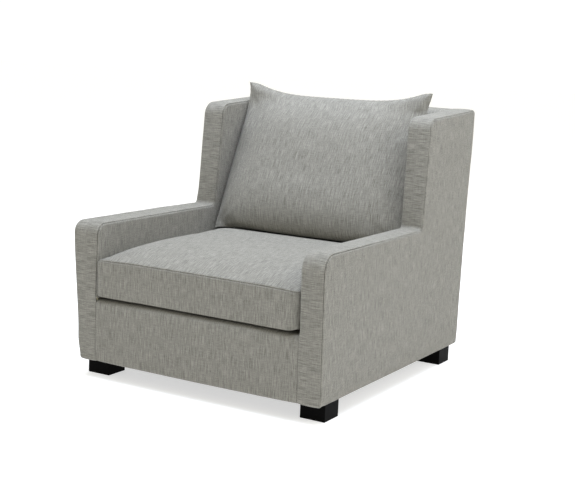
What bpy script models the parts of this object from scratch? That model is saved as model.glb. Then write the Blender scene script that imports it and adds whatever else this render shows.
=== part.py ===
"""Wing armchair with track arms, a loose seat cushion and a loose back cushion.

Metres, +Z up. The front faces -Y and the chair is symmetric about X = 0. The origin is on
the floor, under the middle of the frame. Depths (named d or DEPTH) are measured backwards
from the front face, and to_y() turns them into Y.
"""
import math

import bmesh
import bpy
from mathutils import Matrix, Vector

# Overall size of the upholstered frame
WIDTH = 0.920
DEPTH_BOTTOM = 1.009
DEPTH = 1.070
FOOT_HEIGHT = 0.058
ARM_TOP = 0.508
WING_TOP_FRONT = 0.8715
WING_TOP_REAR = 0.893
WING_DEPTH_LOW = 0.6615
WING_DEPTH_HIGH = 0.691
SIDE_LEAN = 0.020

# Build-up of a side, measured inwards from its outer face
SIDE_THICK = 0.081
CLOTH = 0.002
GAP = 0.0003
BORDER_PAD = 0.018
FRAME_OUTER = 0.0123
FRAME_INNER = 0.0440

# Corner radii of the side outline
ARM_RADIUS = 0.055
CROOK_RADIUS = 0.022
WING_RADIUS = 0.045
SMALL_RADIUS = 0.010

# Seat frame
DECK_TOP = 0.262
RAIL_TOP = 0.225
RAIL_THICK = 0.028
RAIL_DEPTH_FRONT = 0.0225
RAIL_DEPTH_REAR = 0.930
BLOCK = 0.095

# Back
BACK_THICK = 0.113
BACK_PAD = 0.045
POST_DEPTH = 0.050
BACK_RAIL_FRONT = 0.052
BACK_RAIL_REAR = 0.024

# Springs and webbing
SPRING_COUNT = 5
SPRING_WIRE = 0.0019
SPRING_LOOPS = 13
SPRING_LOOP_WIDTH = 0.046
SPRING_PITCH = 0.140
SPRING_RISE = 0.008
WEB_WIDTH = 0.060
WEB_THICK = 0.002

# Feet
FOOT = 0.085
FOOT_SIDE_INSET = 0.014
FOOT_FRONT_DEPTH = 0.054
FOOT_REAR_DEPTH = 0.889
FOOT_BEVEL = 0.0015

# Seat cushion
CUSHION_CLEAR = 0.002
CUSHION_BOTTOM = 0.264
CUSHION_EDGE = 0.392
CUSHION_CROWN = 0.038
CUSHION_FRONT = 0.004
CUSHION_REAR = 0.884
CUSHION_CORNER = 0.035

# Back cushion, a knife-edge pillow that leans on the back
PILLOW_HALF_WIDTH = 0.369
PILLOW_HEIGHT = 0.527
PILLOW_THICK = 0.190
PILLOW_RIM = 0.010
PILLOW_LEAN = math.radians(24.0)
PILLOW_FOOT = (0.660, 0.435)
PILLOW_EAR = 0.040
PILLOW_SIDE_HOLLOW = 0.006

# Zips
ZIP_LENGTH = 0.560
ZIP_WIDTH = 0.026
PILLOW_ZIP_WIDTH = 0.008
ZIP_THICK = 0.0014
SLIDER_LENGTH = 0.014
SLIDER_WIDTH = 0.008
SLIDER_THICK = 0.0030
SLIDER_START = 0.265

HALF_WIDTH = WIDTH / 2
INNER_HALF = HALF_WIDTH - SIDE_THICK
FRAME_HALF = HALF_WIDTH - FRAME_INNER - 2 * GAP
PAD_INSET = CLOTH + GAP
FRAME_INSET = PAD_INSET + BORDER_PAD + GAP
SIDES = (("left", -1), ("right", 1))


def to_y(depth):
    """Y of a point that lies this far behind the front face."""
    return depth - DEPTH / 2


def rear_depth(z):
    """Depth of the raked rear face at height z."""
    rake = (DEPTH - DEPTH_BOTTOM) / (WING_TOP_REAR - FOOT_HEIGHT)
    return DEPTH_BOTTOM + rake * (z - FOOT_HEIGHT)


def back_face(z):
    """Depth of the front of the fixed back at height z."""
    return rear_depth(z) - BACK_THICK


# ---------------------------------------------------------------- outlines


def shifted_corners(corners, inset):
    """Move every edge of a closed outline inwards and meet the edges again."""
    points = [Vector((y, z)) for y, z, radius in corners]
    count = len(points)
    lines = []
    for i, start in enumerate(points):
        along = (points[(i + 1) % count] - start).normalized()
        inward = Vector((along.y, -along.x))
        lines.append((start + inward * inset, along))
    moved = []
    for i in range(count):
        start, along = lines[i]
        other, other_along = lines[i - 1]
        cross = along.x * other_along.y - along.y * other_along.x
        away = other - start
        reach = (away.x * other_along.y - away.y * other_along.x) / cross
        moved.append(start + along * reach)
    return moved


def rounded(corners, inset=0.0, steps=6):
    """Outline points of a clockwise polygon with rounded corners, moved inwards by inset.

    A corner is (depth, z, radius). An outer corner's radius shrinks with the inset and an
    inner corner's radius grows.
    """
    moved = shifted_corners(corners, inset)
    count = len(moved)
    outline = []
    for i, corner in enumerate(moved):
        before = (moved[i - 1] - corner).normalized()
        after = (moved[(i + 1) % count] - corner).normalized()
        turn = before.x * after.y - before.y * after.x
        radius = corners[i][2] - inset if turn > 0 else corners[i][2] + inset
        if corners[i][2] == 0 or radius < 0.001:
            outline.append(corner)
            continue
        half_angle = before.angle(after) / 2
        reach = radius / math.tan(half_angle)
        centre = corner + (before + after).normalized() * radius / math.sin(half_angle)
        first = (corner + before * reach - centre).normalized()
        last = (corner + after * reach - centre).normalized()
        for step in range(steps + 1):
            outline.append(centre + first.slerp(last, step / steps) * radius)
    return [(point.x, point.y) for point in outline]


def side_corners():
    """The side seen from the right, clockwise from the bottom front corner."""
    return [
        (0.0, FOOT_HEIGHT, SMALL_RADIUS),
        (0.0, ARM_TOP, ARM_RADIUS),
        (WING_DEPTH_LOW, ARM_TOP, CROOK_RADIUS),
        (WING_DEPTH_HIGH, WING_TOP_FRONT, WING_RADIUS),
        (DEPTH, WING_TOP_REAR, 0.0),
        (DEPTH_BOTTOM, FOOT_HEIGHT, 0.0),
    ]


def side_path(inset):
    """The side's outline from the bottom front, over arm and wing, to the rear top."""
    outline = rounded(side_corners(), inset)
    return outline[:-1]


def band(outer, inner):
    """Closed outline between two paths that run side by side."""
    return outer + inner[::-1]


# ---------------------------------------------------------------- objects


def clear_scene():
    for item in list(bpy.data.objects):
        bpy.data.objects.remove(item, do_unlink=True)


def material(name, colour, roughness, metallic=0.0):
    made = bpy.data.materials.get(name)
    if made:
        return made
    made = bpy.data.materials.new(name)
    made.use_nodes = True
    shader = made.node_tree.nodes["Principled BSDF"]
    shader.inputs["Base Color"].default_value = (*colour, 1.0)
    shader.inputs["Roughness"].default_value = roughness
    shader.inputs["Metallic"].default_value = metallic
    return made


def cover_cloth():
    return material("cover_cloth", (0.27, 0.265, 0.24), 0.85)


def black_wood():
    return material("black_wood", (0.006, 0.006, 0.006), 0.45)


def bare_timber():
    return material("bare_timber", (0.55, 0.38, 0.20), 0.70)


def foam():
    return material("foam", (0.80, 0.76, 0.55), 0.95)


def fibreboard():
    return material("fibreboard", (0.35, 0.25, 0.15), 0.80)


def spring_steel():
    return material("spring_steel", (0.45, 0.45, 0.46), 0.35, 1.0)


def webbing_cloth():
    return material("webbing_cloth", (0.60, 0.52, 0.36), 0.90)


def lining_cloth():
    return material("lining_cloth", (0.015, 0.015, 0.015), 0.90)


def zip_metal():
    return material("zip_metal", (0.30, 0.28, 0.25), 0.40, 1.0)


def lean_sides(mesh):
    """Draw the chair in towards the top, so that its sides lean by SIDE_LEAN."""
    for vertex in mesh.vertices:
        rise = max(0.0, vertex.co.z - FOOT_HEIGHT)
        vertex.co.x *= 1.0 - SIDE_LEAN * rise / HALF_WIDTH


def finish_object(name, mesh, surface, origin=(0.0, 0.0, 0.0)):
    """Link a mesh given in world coordinates, with its object's origin at origin."""
    lean_sides(mesh)
    mesh.transform(Matrix.Translation(-Vector(origin)))
    mesh.materials.append(surface)
    made = bpy.data.objects.new(name, mesh)
    made.location = origin
    bpy.context.scene.collection.objects.link(made)
    return made


def mesh_from(name, shape):
    bmesh.ops.remove_doubles(shape, verts=shape.verts, dist=0.00001)
    bmesh.ops.recalc_face_normals(shape, faces=shape.faces)
    mesh = bpy.data.meshes.new(name)
    shape.to_mesh(mesh)
    shape.free()
    return mesh


def slab(name, outline, x_low, x_high, surface):
    """A flat outline in depth and height, extruded across the chair."""
    shape = bmesh.new()
    corners = [shape.verts.new((x_low, to_y(d), z)) for d, z in outline]
    face = shape.faces.new(corners)
    grown = bmesh.ops.extrude_face_region(shape, geom=[face])
    moved = [v for v in grown["geom"] if isinstance(v, bmesh.types.BMVert)]
    bmesh.ops.translate(shape, verts=moved, vec=(x_high - x_low, 0.0, 0.0))
    return finish_object(name, mesh_from(name, shape), surface)


def block(name, x_low, x_high, depths, heights, surface, bevel=0.0):
    """A rectangular piece between two depths and two heights."""
    d0, d1 = depths
    z0, z1 = heights
    made = slab(name, [(d0, z0), (d0, z1), (d1, z1), (d1, z0)], x_low, x_high, surface)
    if bevel:
        edge = made.modifiers.new("eased_edges", "BEVEL")
        edge.width = bevel
        edge.segments = 2
        edge.limit_method = "ANGLE"
    return made


def across(side, near, far):
    """X range of a side piece that lies between two distances in from the outer face."""
    ends = (side * (HALF_WIDTH - near), side * (HALF_WIDTH - far))
    return min(ends), max(ends)


# ---------------------------------------------------------------- timber frame


def make_side_timber(label, side):
    """Front post, arm rail, side rail, back post and wing frame of one side."""
    x_low, x_high = across(side, FRAME_OUTER, FRAME_INNER)
    inset = FRAME_INSET
    low = FOOT_HEIGHT + 0.004
    arm_under = ARM_TOP - inset - 0.040
    block(f"{label}_front_post", x_low, x_high, (inset, inset + 0.050),
          (low, arm_under - GAP), bare_timber())
    post_front_low = rear_depth(arm_under) - inset - POST_DEPTH
    arm_end = post_front_low - GAP
    outline = rounded(side_corners(), inset)
    nose = [point for point in outline if point[1] > arm_under and point[0] < ARM_RADIUS + inset]
    rail = nose + [(arm_end, ARM_TOP - inset), (arm_end, arm_under), (inset, arm_under)]
    slab(f"{label}_arm_rail", rail, x_low, x_high, bare_timber())
    side_end = rear_depth(low) - inset - POST_DEPTH - GAP
    block(f"{label}_side_rail", x_low, x_high, (inset + 0.050 + GAP, side_end),
          (low, low + 0.110), bare_timber())
    top = WING_TOP_REAR - 2 * inset
    post = [
        (rear_depth(low) - inset - POST_DEPTH, low),
        (rear_depth(top) - inset - POST_DEPTH, top),
        (rear_depth(top) - inset, top),
        (rear_depth(low) - inset, low),
    ]
    slab(f"{label}_back_post", post, x_low, x_high, bare_timber())
    make_wing_frame(label, x_low, x_high, inset)


def wing_curve(inset):
    """Outline points of the wing's rounded front top corner."""
    return [point for point in rounded(side_corners(), inset)
            if point[1] > ARM_TOP + CROOK_RADIUS and point[0] < WING_DEPTH_HIGH + 2 * WING_RADIUS]


def make_wing_frame(label, x_low, x_high, inset):
    """The sawn front and top of the wing, one bent piece that stands on the arm rail."""
    width = 0.045
    foot = ARM_TOP - inset + GAP
    outer = wing_curve(inset)
    lean = (WING_DEPTH_HIGH - WING_DEPTH_LOW) / (WING_TOP_FRONT - ARM_TOP)
    slope = (WING_TOP_REAR - WING_TOP_FRONT) / (DEPTH - WING_DEPTH_HIGH)
    front_low = WING_DEPTH_LOW + inset + lean * (foot - ARM_TOP)
    top_under = WING_TOP_FRONT - inset - width
    end = rear_depth(top_under) - inset - POST_DEPTH - 2 * GAP
    end_top = WING_TOP_FRONT - inset + slope * (end - WING_DEPTH_HIGH)
    end_under = top_under + slope * (end - WING_DEPTH_HIGH)
    inside = front_low + width + lean * (top_under - foot)
    corner = (inside + 0.004, top_under + slope * (inside - WING_DEPTH_HIGH))
    path = [(front_low, foot)] + outer
    path += [(end, end_top), (end, end_under), corner, (front_low + width, foot)]
    slab(f"{label}_wing_frame", path, x_low, x_high, bare_timber())


def make_seat_timber():
    """Front and back seat rails with a glued block in each corner."""
    low = FOOT_HEIGHT + 0.004
    half = FRAME_HALF
    front_end = RAIL_DEPTH_FRONT + RAIL_THICK
    block("front_rail", -half, half, (RAIL_DEPTH_FRONT, front_end), (low, RAIL_TOP), bare_timber())
    block("back_rail", -half, half, (RAIL_DEPTH_REAR, RAIL_DEPTH_REAR + RAIL_THICK),
          (low, RAIL_TOP), bare_timber())
    for label, side in SIDES:
        for place in ("front", "rear"):
            if place == "front":
                wall, away = front_end + GAP, 1
            else:
                wall, away = RAIL_DEPTH_REAR - GAP, -1
            corner = Vector((side * half, wall))
            make_corner_block(f"{label}_{place}_corner_block", corner, side, away, low)


def make_corner_block(name, corner, side, away, low):
    """A three-cornered timber block whose flat underside takes the foot's bolt."""
    shape = bmesh.new()
    points = (
        (corner.x, corner.y),
        (corner.x - side * BLOCK, corner.y),
        (corner.x - side * BLOCK, corner.y + away * 0.020),
        (corner.x - side * 0.020, corner.y + away * BLOCK),
        (corner.x, corner.y + away * BLOCK),
    )
    face = shape.faces.new([shape.verts.new((x, to_y(d), low)) for x, d in points])
    grown = bmesh.ops.extrude_face_region(shape, geom=[face])
    moved = [v for v in grown["geom"] if isinstance(v, bmesh.types.BMVert)]
    bmesh.ops.translate(shape, verts=moved, vec=(0.0, 0.0, 0.045))
    finish_object(name, mesh_from(name, shape), bare_timber())


def make_back_timber():
    """Top and lower rails between the two back posts."""
    half = FRAME_HALF
    for name, low, high in (("top_back_rail", 0.800, 0.850), ("lower_back_rail", 0.290, 0.340)):
        front, rear = BACK_RAIL_FRONT, BACK_RAIL_REAR
        outline = [
            (rear_depth(low) - front, low),
            (rear_depth(high) - front, high),
            (rear_depth(high) - rear, high),
            (rear_depth(low) - rear, low),
        ]
        slab(name, outline, -half, half, bare_timber())


# ---------------------------------------------------------------- suspension


def make_springs():
    """Sinuous springs that arch from the front rail to the back rail."""
    start = RAIL_DEPTH_FRONT + RAIL_THICK / 2
    end = RAIL_DEPTH_REAR + RAIL_THICK / 2
    for number in range(SPRING_COUNT):
        centre = (number - (SPRING_COUNT - 1) / 2) * SPRING_PITCH
        make_spring(f"seat_spring_{number + 1}", centre, start, end)


def make_spring(name, centre, start, end):
    rest = RAIL_TOP + SPRING_WIRE + 2 * GAP
    half = SPRING_LOOP_WIDTH / 2
    pitch = (end - start) / SPRING_LOOPS
    points = [(centre, start, rest)]
    for loop in range(SPRING_LOOPS):
        sign = 1 if loop % 2 == 0 else -1
        for across_part, along_part in ((0.8, 0.12), (1.0, 0.32), (1.0, 0.68), (0.8, 0.88)):
            depth = start + (loop + along_part) * pitch
            t = (depth - start) / (end - start)
            lift = SPRING_RISE * math.sin(math.pi * t)
            points.append((centre + sign * half * across_part, depth, rest + lift))
    points.append((centre, end, rest))
    curve = bpy.data.curves.new(name, "CURVE")
    curve.dimensions = "3D"
    spline = curve.splines.new("POLY")
    spline.points.add(len(points) - 1)
    for knot, (x, depth, z) in zip(spline.points, points):
        knot.co = (x, to_y(depth), z, 1.0)
    curve.bevel_depth = SPRING_WIRE
    curve.bevel_resolution = 1
    curve.use_fill_caps = True
    curve.materials.append(spring_steel())
    made = bpy.data.objects.new(name, curve)
    bpy.context.scene.collection.objects.link(made)


def make_webbing():
    """Two elastic straps down the back, just behind the back pad."""
    low, high = 0.300, 0.840
    for number, centre in enumerate((-0.150, 0.150)):
        behind = BACK_THICK - PAD_INSET - BACK_PAD - 3 * GAP
        outline = [
            (rear_depth(low) - behind, low),
            (rear_depth(high) - behind, high),
            (rear_depth(high) - behind + WEB_THICK, high),
            (rear_depth(low) - behind + WEB_THICK, low),
        ]
        slab(f"back_web_{number + 1}", outline, centre - WEB_WIDTH / 2, centre + WEB_WIDTH / 2,
             webbing_cloth())


# ---------------------------------------------------------------- padding and covers


def make_side_padding(label, side):
    """Outer board, inner foam and the foam border of one side."""
    outer_low, outer_high = across(side, PAD_INSET, FRAME_OUTER - GAP)
    slab(f"{label}_outer_board", rounded(side_corners(), FRAME_INSET), outer_low, outer_high,
         fibreboard())
    x_low, x_high = across(side, FRAME_INNER + GAP, SIDE_THICK - PAD_INSET)
    inset = FRAME_INSET
    split = ARM_TOP - inset
    arm = [point for point in rounded(side_corners(), inset)
           if DECK_TOP < point[1] < ARM_TOP and point[0] < WING_DEPTH_LOW - 2 * CROOK_RADIUS]
    arm = [(inset, DECK_TOP)] + arm
    arm += [(inner_end(split), split), (inner_end(DECK_TOP), DECK_TOP)]
    slab(f"{label}_arm_pad", arm, x_low, x_high, foam())
    floor = split + GAP
    top = WING_TOP_REAR - inset - 0.005
    wing = [(WING_DEPTH_LOW + inset, floor)] + wing_curve(inset)
    wing += [(inner_end(top), top), (inner_end(floor), floor)]
    slab(f"{label}_wing_pad", wing, x_low, x_high, foam())
    make_border_pads(label, side)


def inner_end(z):
    """Depth where the inner side padding stops, just in front of the back rails."""
    return rear_depth(z) - BACK_RAIL_FRONT - 0.002


def make_border_pads(label, side):
    x_low, x_high = across(side, PAD_INSET, SIDE_THICK - PAD_INSET)
    outer = side_path(PAD_INSET)
    inner = side_path(PAD_INSET + BORDER_PAD)
    end = WING_DEPTH_LOW - 2 * CROOK_RADIUS
    arm = band([p for p in outer if p[0] <= end] + [(end, ARM_TOP - PAD_INSET)],
               [p for p in inner if p[0] <= end] + [(end, ARM_TOP - PAD_INSET - BORDER_PAD)])
    slab(f"{label}_arm_border_pad", arm, x_low, x_high, foam())
    start = end + GAP
    wing = band([(start, ARM_TOP - PAD_INSET)] + [p for p in outer if p[0] > start],
                [(start, ARM_TOP - PAD_INSET - BORDER_PAD)] + [p for p in inner if p[0] > start])
    slab(f"{label}_wing_border_pad", wing, x_low, x_high, foam())


def make_side_covers(label, side):
    """Outside panel, boxing strip and inside panel of one side."""
    outer_low, outer_high = across(side, 0.0, CLOTH)
    slab(f"{label}_outside_cover", rounded(side_corners()), outer_low, outer_high, cover_cloth())
    strip_low, strip_high = across(side, PAD_INSET, SIDE_THICK - PAD_INSET)
    strip = band(side_path(0.0), side_path(CLOTH))
    rear_clear = DEPTH - PAD_INSET
    strip = [(min(d, rear_clear), z) for d, z in strip]
    slab(f"{label}_boxing_strip", strip, strip_low, strip_high, cover_cloth())
    inner_low, inner_high = across(side, SIDE_THICK - CLOTH, SIDE_THICK)
    panel = [(0.0, DECK_TOP)]
    panel += [point for point in rounded(side_corners())
              if point[1] > DECK_TOP and point[0] < DEPTH]
    slope = (WING_TOP_REAR - WING_TOP_FRONT) / (DEPTH - WING_DEPTH_HIGH)
    end = inner_end(WING_TOP_REAR)
    panel += [(end, WING_TOP_REAR - slope * (DEPTH - end)), (inner_end(DECK_TOP), DECK_TOP)]
    slab(f"{label}_inside_cover", panel, inner_low, inner_high, cover_cloth())


def make_front():
    """Foam and cover of the panel below the seat cushion."""
    half = INNER_HALF - GAP
    front = RAIL_DEPTH_FRONT - GAP
    block("front_pad", -half, half, (PAD_INSET, front), (FOOT_HEIGHT + SMALL_RADIUS, DECK_TOP - 0.020),
          foam())
    lap = 0.100
    corners = [
        (0.0, FOOT_HEIGHT, SMALL_RADIUS),
        (0.0, DECK_TOP, 0.014),
        (lap, DECK_TOP, 0.0),
        (lap, FOOT_HEIGHT, 0.0),
    ]
    outer = rounded(corners)[:-1]
    inner = rounded(corners, CLOTH)[:-2]
    sheet = band(outer, inner + [(lap, DECK_TOP - CLOTH)])
    slab("front_cover", sheet, -half, half, cover_cloth())
    under = DECK_TOP - CLOTH - GAP
    rear = back_face(DECK_TOP)
    block("deck_pad", -half, half, (RAIL_DEPTH_FRONT + 0.001, rear + 0.028), (RAIL_TOP + 0.0145, under),
          foam())
    block("deck_cover", -half, half, (lap + GAP, rear - GAP), (DECK_TOP - CLOTH, DECK_TOP),
          lining_cloth())


def make_back():
    """Pad, top pad and both covers of the fixed back."""
    half = INNER_HALF - GAP
    low = DECK_TOP + GAP
    pad_top = 0.850
    front = BACK_THICK - PAD_INSET
    rear = front - BACK_PAD
    pad = [
        (rear_depth(low) - front, low),
        (rear_depth(pad_top) - front, pad_top),
        (rear_depth(pad_top) - rear, pad_top),
        (rear_depth(low) - rear, low),
    ]
    slab("back_pad", pad, -half, half, foam())
    top = WING_TOP_REAR
    front_top = top - 0.006
    corners = [
        (back_face(low), low, 0.0),
        (back_face(front_top), front_top, 0.030),
        (DEPTH, top, 0.0),
        (rear_depth(low), low, 0.0),
    ]
    under = pad_top + 2 * GAP
    cap_path = [point for point in rounded(corners, PAD_INSET) if point[1] > under]
    cap = [(back_face(under) + PAD_INSET, under)] + cap_path
    cap += [(rear_depth(under) - PAD_INSET, under)]
    slab("back_top_pad", cap, -half, half, foam())
    outer = [point for point in rounded(corners)[:-1] if point[1] > low]
    inner = [point for point in rounded(corners, CLOTH)[:-1] if point[1] > low]
    outer = [(back_face(low), low)] + outer
    inner = [(back_face(low) + CLOTH, low)] + inner
    sheet = [(min(d, DEPTH - PAD_INSET), z) for d, z in band(outer, inner)]
    slab("inside_back_cover", sheet, -half, half, cover_cloth())
    bottom = FOOT_HEIGHT
    rear_sheet = [
        (rear_depth(bottom) - CLOTH, bottom),
        (DEPTH - CLOTH, top),
        (DEPTH, top),
        (rear_depth(bottom), bottom),
    ]
    wide = HALF_WIDTH - PAD_INSET
    slab("outside_back_cover", rear_sheet, -wide, wide, cover_cloth())


def make_dust_cover():
    """Black lining stapled under the frame, inside the covers."""
    wide = HALF_WIDTH - FRAME_OUTER
    block("dust_cover", -wide, wide, (FRAME_INSET, DEPTH_BOTTOM - 0.012),
          (FOOT_HEIGHT + 0.0005, FOOT_HEIGHT + 0.0025), lining_cloth())


def make_feet():
    """Four square block feet under the corners."""
    for label, side in SIDES:
        for place, depth in (("front", FOOT_FRONT_DEPTH), ("rear", FOOT_REAR_DEPTH)):
            x_low, x_high = across(side, FOOT_SIDE_INSET, FOOT_SIDE_INSET + FOOT)
            block(f"{label}_{place}_foot", x_low, x_high, (depth, depth + FOOT),
                  (0.0, FOOT_HEIGHT), black_wood(), FOOT_BEVEL)


# ---------------------------------------------------------------- loose cushions


def seat_height(u, v):
    """Top of the seat cushion, for u and v from -1 to 1 across and along it."""
    bulge = (1.0 - u * u) * (1.0 - abs(v) ** 2.5)
    return CUSHION_EDGE + CUSHION_CROWN * bulge


def cushion_plan(u, v, half):
    """Plan of the cushion: a rectangle whose front corners are rounded."""
    length = CUSHION_REAR - CUSHION_FRONT
    x = u * half
    depth = CUSHION_FRONT + (v + 1.0) / 2.0 * length
    near_side = half - CUSHION_CORNER
    if abs(x) > near_side and depth < CUSHION_FRONT + CUSHION_CORNER:
        reach = (abs(x) - near_side) / CUSHION_CORNER
        setback = CUSHION_CORNER * (1.0 - math.sqrt(max(0.0, 1.0 - reach * reach)))
        depth = max(depth, CUSHION_FRONT + setback)
    return x, depth


def make_seat_cushion():
    """Boxed seat cushion with a crowned top and rounded front corners."""
    half = INNER_HALF - CUSHION_CLEAR
    corner = 1.0 - CUSHION_CORNER / half
    columns = [-1.0, -1.0 + (1.0 - corner) * 0.3, -corner]
    columns += [-corner + 2 * corner * i / 8 for i in range(1, 8)]
    columns += [corner, 1.0 - (1.0 - corner) * 0.3, 1.0]
    rows = [-1.0 + 2 * i / 8 for i in range(9)]
    shape = bmesh.new()
    layers = []
    for is_top in (True, False):
        grid = []
        for v in rows:
            line = []
            for u in columns:
                x, depth = cushion_plan(u, v, half)
                z = seat_height(u, v) if is_top else CUSHION_BOTTOM
                line.append(shape.verts.new((x, to_y(depth), z)))
            grid.append(line)
        layers.append(grid)
    join_layers(shape, layers)
    middle = (0.0, to_y((CUSHION_FRONT + CUSHION_REAR) / 2), CUSHION_BOTTOM)
    return finish_object("seat_cushion", mesh_from("seat_cushion", shape), cover_cloth(), middle)


def join_layers(shape, layers):
    """Skin two grids of points and close them all round."""
    for grid in layers:
        for low, high in zip(grid, grid[1:]):
            for a, b, c, d in zip(low, low[1:], high[1:], high):
                shape.faces.new((a, b, c, d))
    first, second = [rim_of(grid) for grid in layers]
    count = len(first)
    for i in range(count):
        j = (i + 1) % count
        shape.faces.new((first[i], first[j], second[j], second[i]))


def rim_of(grid):
    right = [line[-1] for line in grid[1:-1]]
    left = [line[0] for line in grid[1:-1]]
    return grid[0] + right + grid[-1][::-1] + left[::-1]


def pillow_frame():
    """Matrix from the pillow's own plane to the chair: x across, y thickness, z up it."""
    depth, z = PILLOW_FOOT
    place = Matrix.Translation((0.0, to_y(depth), z))
    return place @ Matrix.Rotation(-PILLOW_LEAN, 4, "X")


def make_back_cushion():
    """Knife-edge pillow: hollow edges between four pulled corners, full in the middle."""
    shape = bmesh.new()
    rows = columns = 12
    place = pillow_frame()
    layers = []
    for facing in (-1, 1):
        grid = []
        for row in range(rows + 1):
            v = -1.0 + 2.0 * row / rows
            line = []
            for column in range(columns + 1):
                u = -1.0 + 2.0 * column / columns
                half = PILLOW_HALF_WIDTH - PILLOW_SIDE_HOLLOW * (1.0 - v * v)
                ear = PILLOW_EAR * u ** 4 * max(0.0, v)
                z = (v + 1.0) / 2.0 * PILLOW_HEIGHT + ear
                full = math.sqrt((1.0 - u ** 4) * (1.0 - v ** 4))
                thick = PILLOW_RIM / 2 + (PILLOW_THICK - PILLOW_RIM) / 2 * full
                point = place @ Vector((u * half, facing * thick, z))
                line.append(shape.verts.new(point))
            grid.append(line)
        layers.append(grid)
    join_layers(shape, layers)
    return finish_object("back_cushion", mesh_from("back_cushion", shape), cover_cloth(),
                         place.translation)


# ---------------------------------------------------------------- zips


def oriented_box(name, place, size, surface, origin):
    """A box centred on a frame, given in world coordinates."""
    shape = bmesh.new()
    bmesh.ops.create_cube(shape, size=1.0)
    bmesh.ops.scale(shape, verts=shape.verts, vec=size)
    bmesh.ops.transform(shape, verts=shape.verts, matrix=place)
    return finish_object(name, mesh_from(name, shape), surface, origin)


def attach(child, parent):
    """Parent a piece without moving it."""
    child.parent = parent
    child.matrix_parent_inverse = Matrix.Translation(parent.location).inverted()


def make_zip(prefix, cushion, place, width):
    """A closed zip along X and its slider, whose own z points out of the cushion."""
    tape = place @ Matrix.Translation((0.0, 0.0, GAP + ZIP_THICK / 2))
    closed = oriented_box(f"{prefix}_zip", tape, (ZIP_LENGTH, width, ZIP_THICK), lining_cloth(),
                          tape.translation)
    attach(closed, cushion)
    lift = 2 * GAP + ZIP_THICK + SLIDER_THICK / 2
    slider = place @ Matrix.Translation((SLIDER_START, 0.0, lift))
    size = (SLIDER_LENGTH, min(width, SLIDER_WIDTH), SLIDER_THICK)
    pull = oriented_box(f"{prefix}_zip_slider", slider, size, zip_metal(), slider.translation)
    attach(pull, cushion)


def make_zips(seat, pillow):
    """The seat cushion's zip is in its rear boxing, the pillow's in its bottom edge."""
    middle = (CUSHION_BOTTOM + CUSHION_EDGE) / 2
    out_back = Matrix.Rotation(-math.pi / 2, 4, "X")
    rear = Matrix.Translation((0.0, to_y(CUSHION_REAR), middle))
    make_zip("seat", seat, rear @ out_back, ZIP_WIDTH)
    out_down = Matrix.Rotation(math.pi, 4, "X")
    make_zip("back", pillow, pillow_frame() @ out_down, PILLOW_ZIP_WIDTH)


def main():
    clear_scene()
    for label, side in SIDES:
        make_side_timber(label, side)
        make_side_padding(label, side)
        make_side_covers(label, side)
    make_seat_timber()
    make_back_timber()
    make_springs()
    make_webbing()
    make_front()
    make_back()
    make_dust_cover()
    make_feet()
    make_zips(make_seat_cushion(), make_back_cushion())


main()
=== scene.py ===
"""The look of a wing armchair: covers, cushions, padding, timber, feet and studio.

Metres, +Z up, the front faces -Y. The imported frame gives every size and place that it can.
Depths are measured backwards from the front face, and to_y() turns them into Y.
"""

import math

import bpy
import numpy as np
from mathutils import Matrix, Vector, noise
from mathutils.bvhtree import BVHTree
from mathutils.geometry import delaunay_2d_cdt


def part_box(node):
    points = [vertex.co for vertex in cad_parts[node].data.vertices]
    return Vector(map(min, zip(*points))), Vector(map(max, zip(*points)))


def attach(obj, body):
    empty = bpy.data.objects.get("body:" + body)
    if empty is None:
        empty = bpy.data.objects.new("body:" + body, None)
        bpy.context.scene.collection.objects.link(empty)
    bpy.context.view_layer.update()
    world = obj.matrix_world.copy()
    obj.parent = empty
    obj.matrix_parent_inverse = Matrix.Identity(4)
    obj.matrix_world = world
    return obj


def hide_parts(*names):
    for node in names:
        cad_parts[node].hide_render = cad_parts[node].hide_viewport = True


bl_info = {
    "name": "Wing armchair upholstery",
    "version": (1, 0, 0),
    "blender": (4, 5, 0),
    "location": "View3D > Sidebar > Armchair",
    "description": "Upholsters and finishes a wing armchair around its packed frame",
    "category": "Object",
}

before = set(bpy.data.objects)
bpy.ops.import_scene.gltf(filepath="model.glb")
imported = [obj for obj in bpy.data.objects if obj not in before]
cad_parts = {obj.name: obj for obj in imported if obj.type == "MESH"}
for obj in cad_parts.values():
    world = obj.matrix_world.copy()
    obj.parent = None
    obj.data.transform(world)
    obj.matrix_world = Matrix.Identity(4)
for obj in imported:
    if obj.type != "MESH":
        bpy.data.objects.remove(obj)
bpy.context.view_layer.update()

SIDES = (("left", -1), ("right", 1))
OUTER_LOW, OUTER_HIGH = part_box("right_outside_cover")
FRONT_Y = OUTER_LOW.y
FLOOR_GAP = OUTER_LOW.z
HALF_WIDTH = OUTER_HIGH.x
DEPTH = OUTER_HIGH.y - OUTER_LOW.y
TOP = OUTER_HIGH.z
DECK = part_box("deck_cover")[1].z
COVER_THICK = 0.0014
UV_NAME = "cloth"


def to_y(depth):
    """Y of a point that lies this far behind the front face."""
    return FRONT_Y + depth


# ---------------------------------------------------------------- what a user may change


def length_value(name, description, default):
    """A property that holds a length in metres."""
    return bpy.props.FloatProperty(
        name=name, description=description, default=default, unit="LENGTH")


def colour_value(name, description, default):
    """A property that holds a colour."""
    return bpy.props.FloatVectorProperty(
        name=name, description=description, default=default, size=3, subtype="COLOR")


def angle_value(name, description, degrees):
    """A property that holds an angle, given here in degrees."""
    return bpy.props.FloatProperty(
        name=name, description=description, default=math.radians(degrees), subtype="ANGLE")


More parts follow.
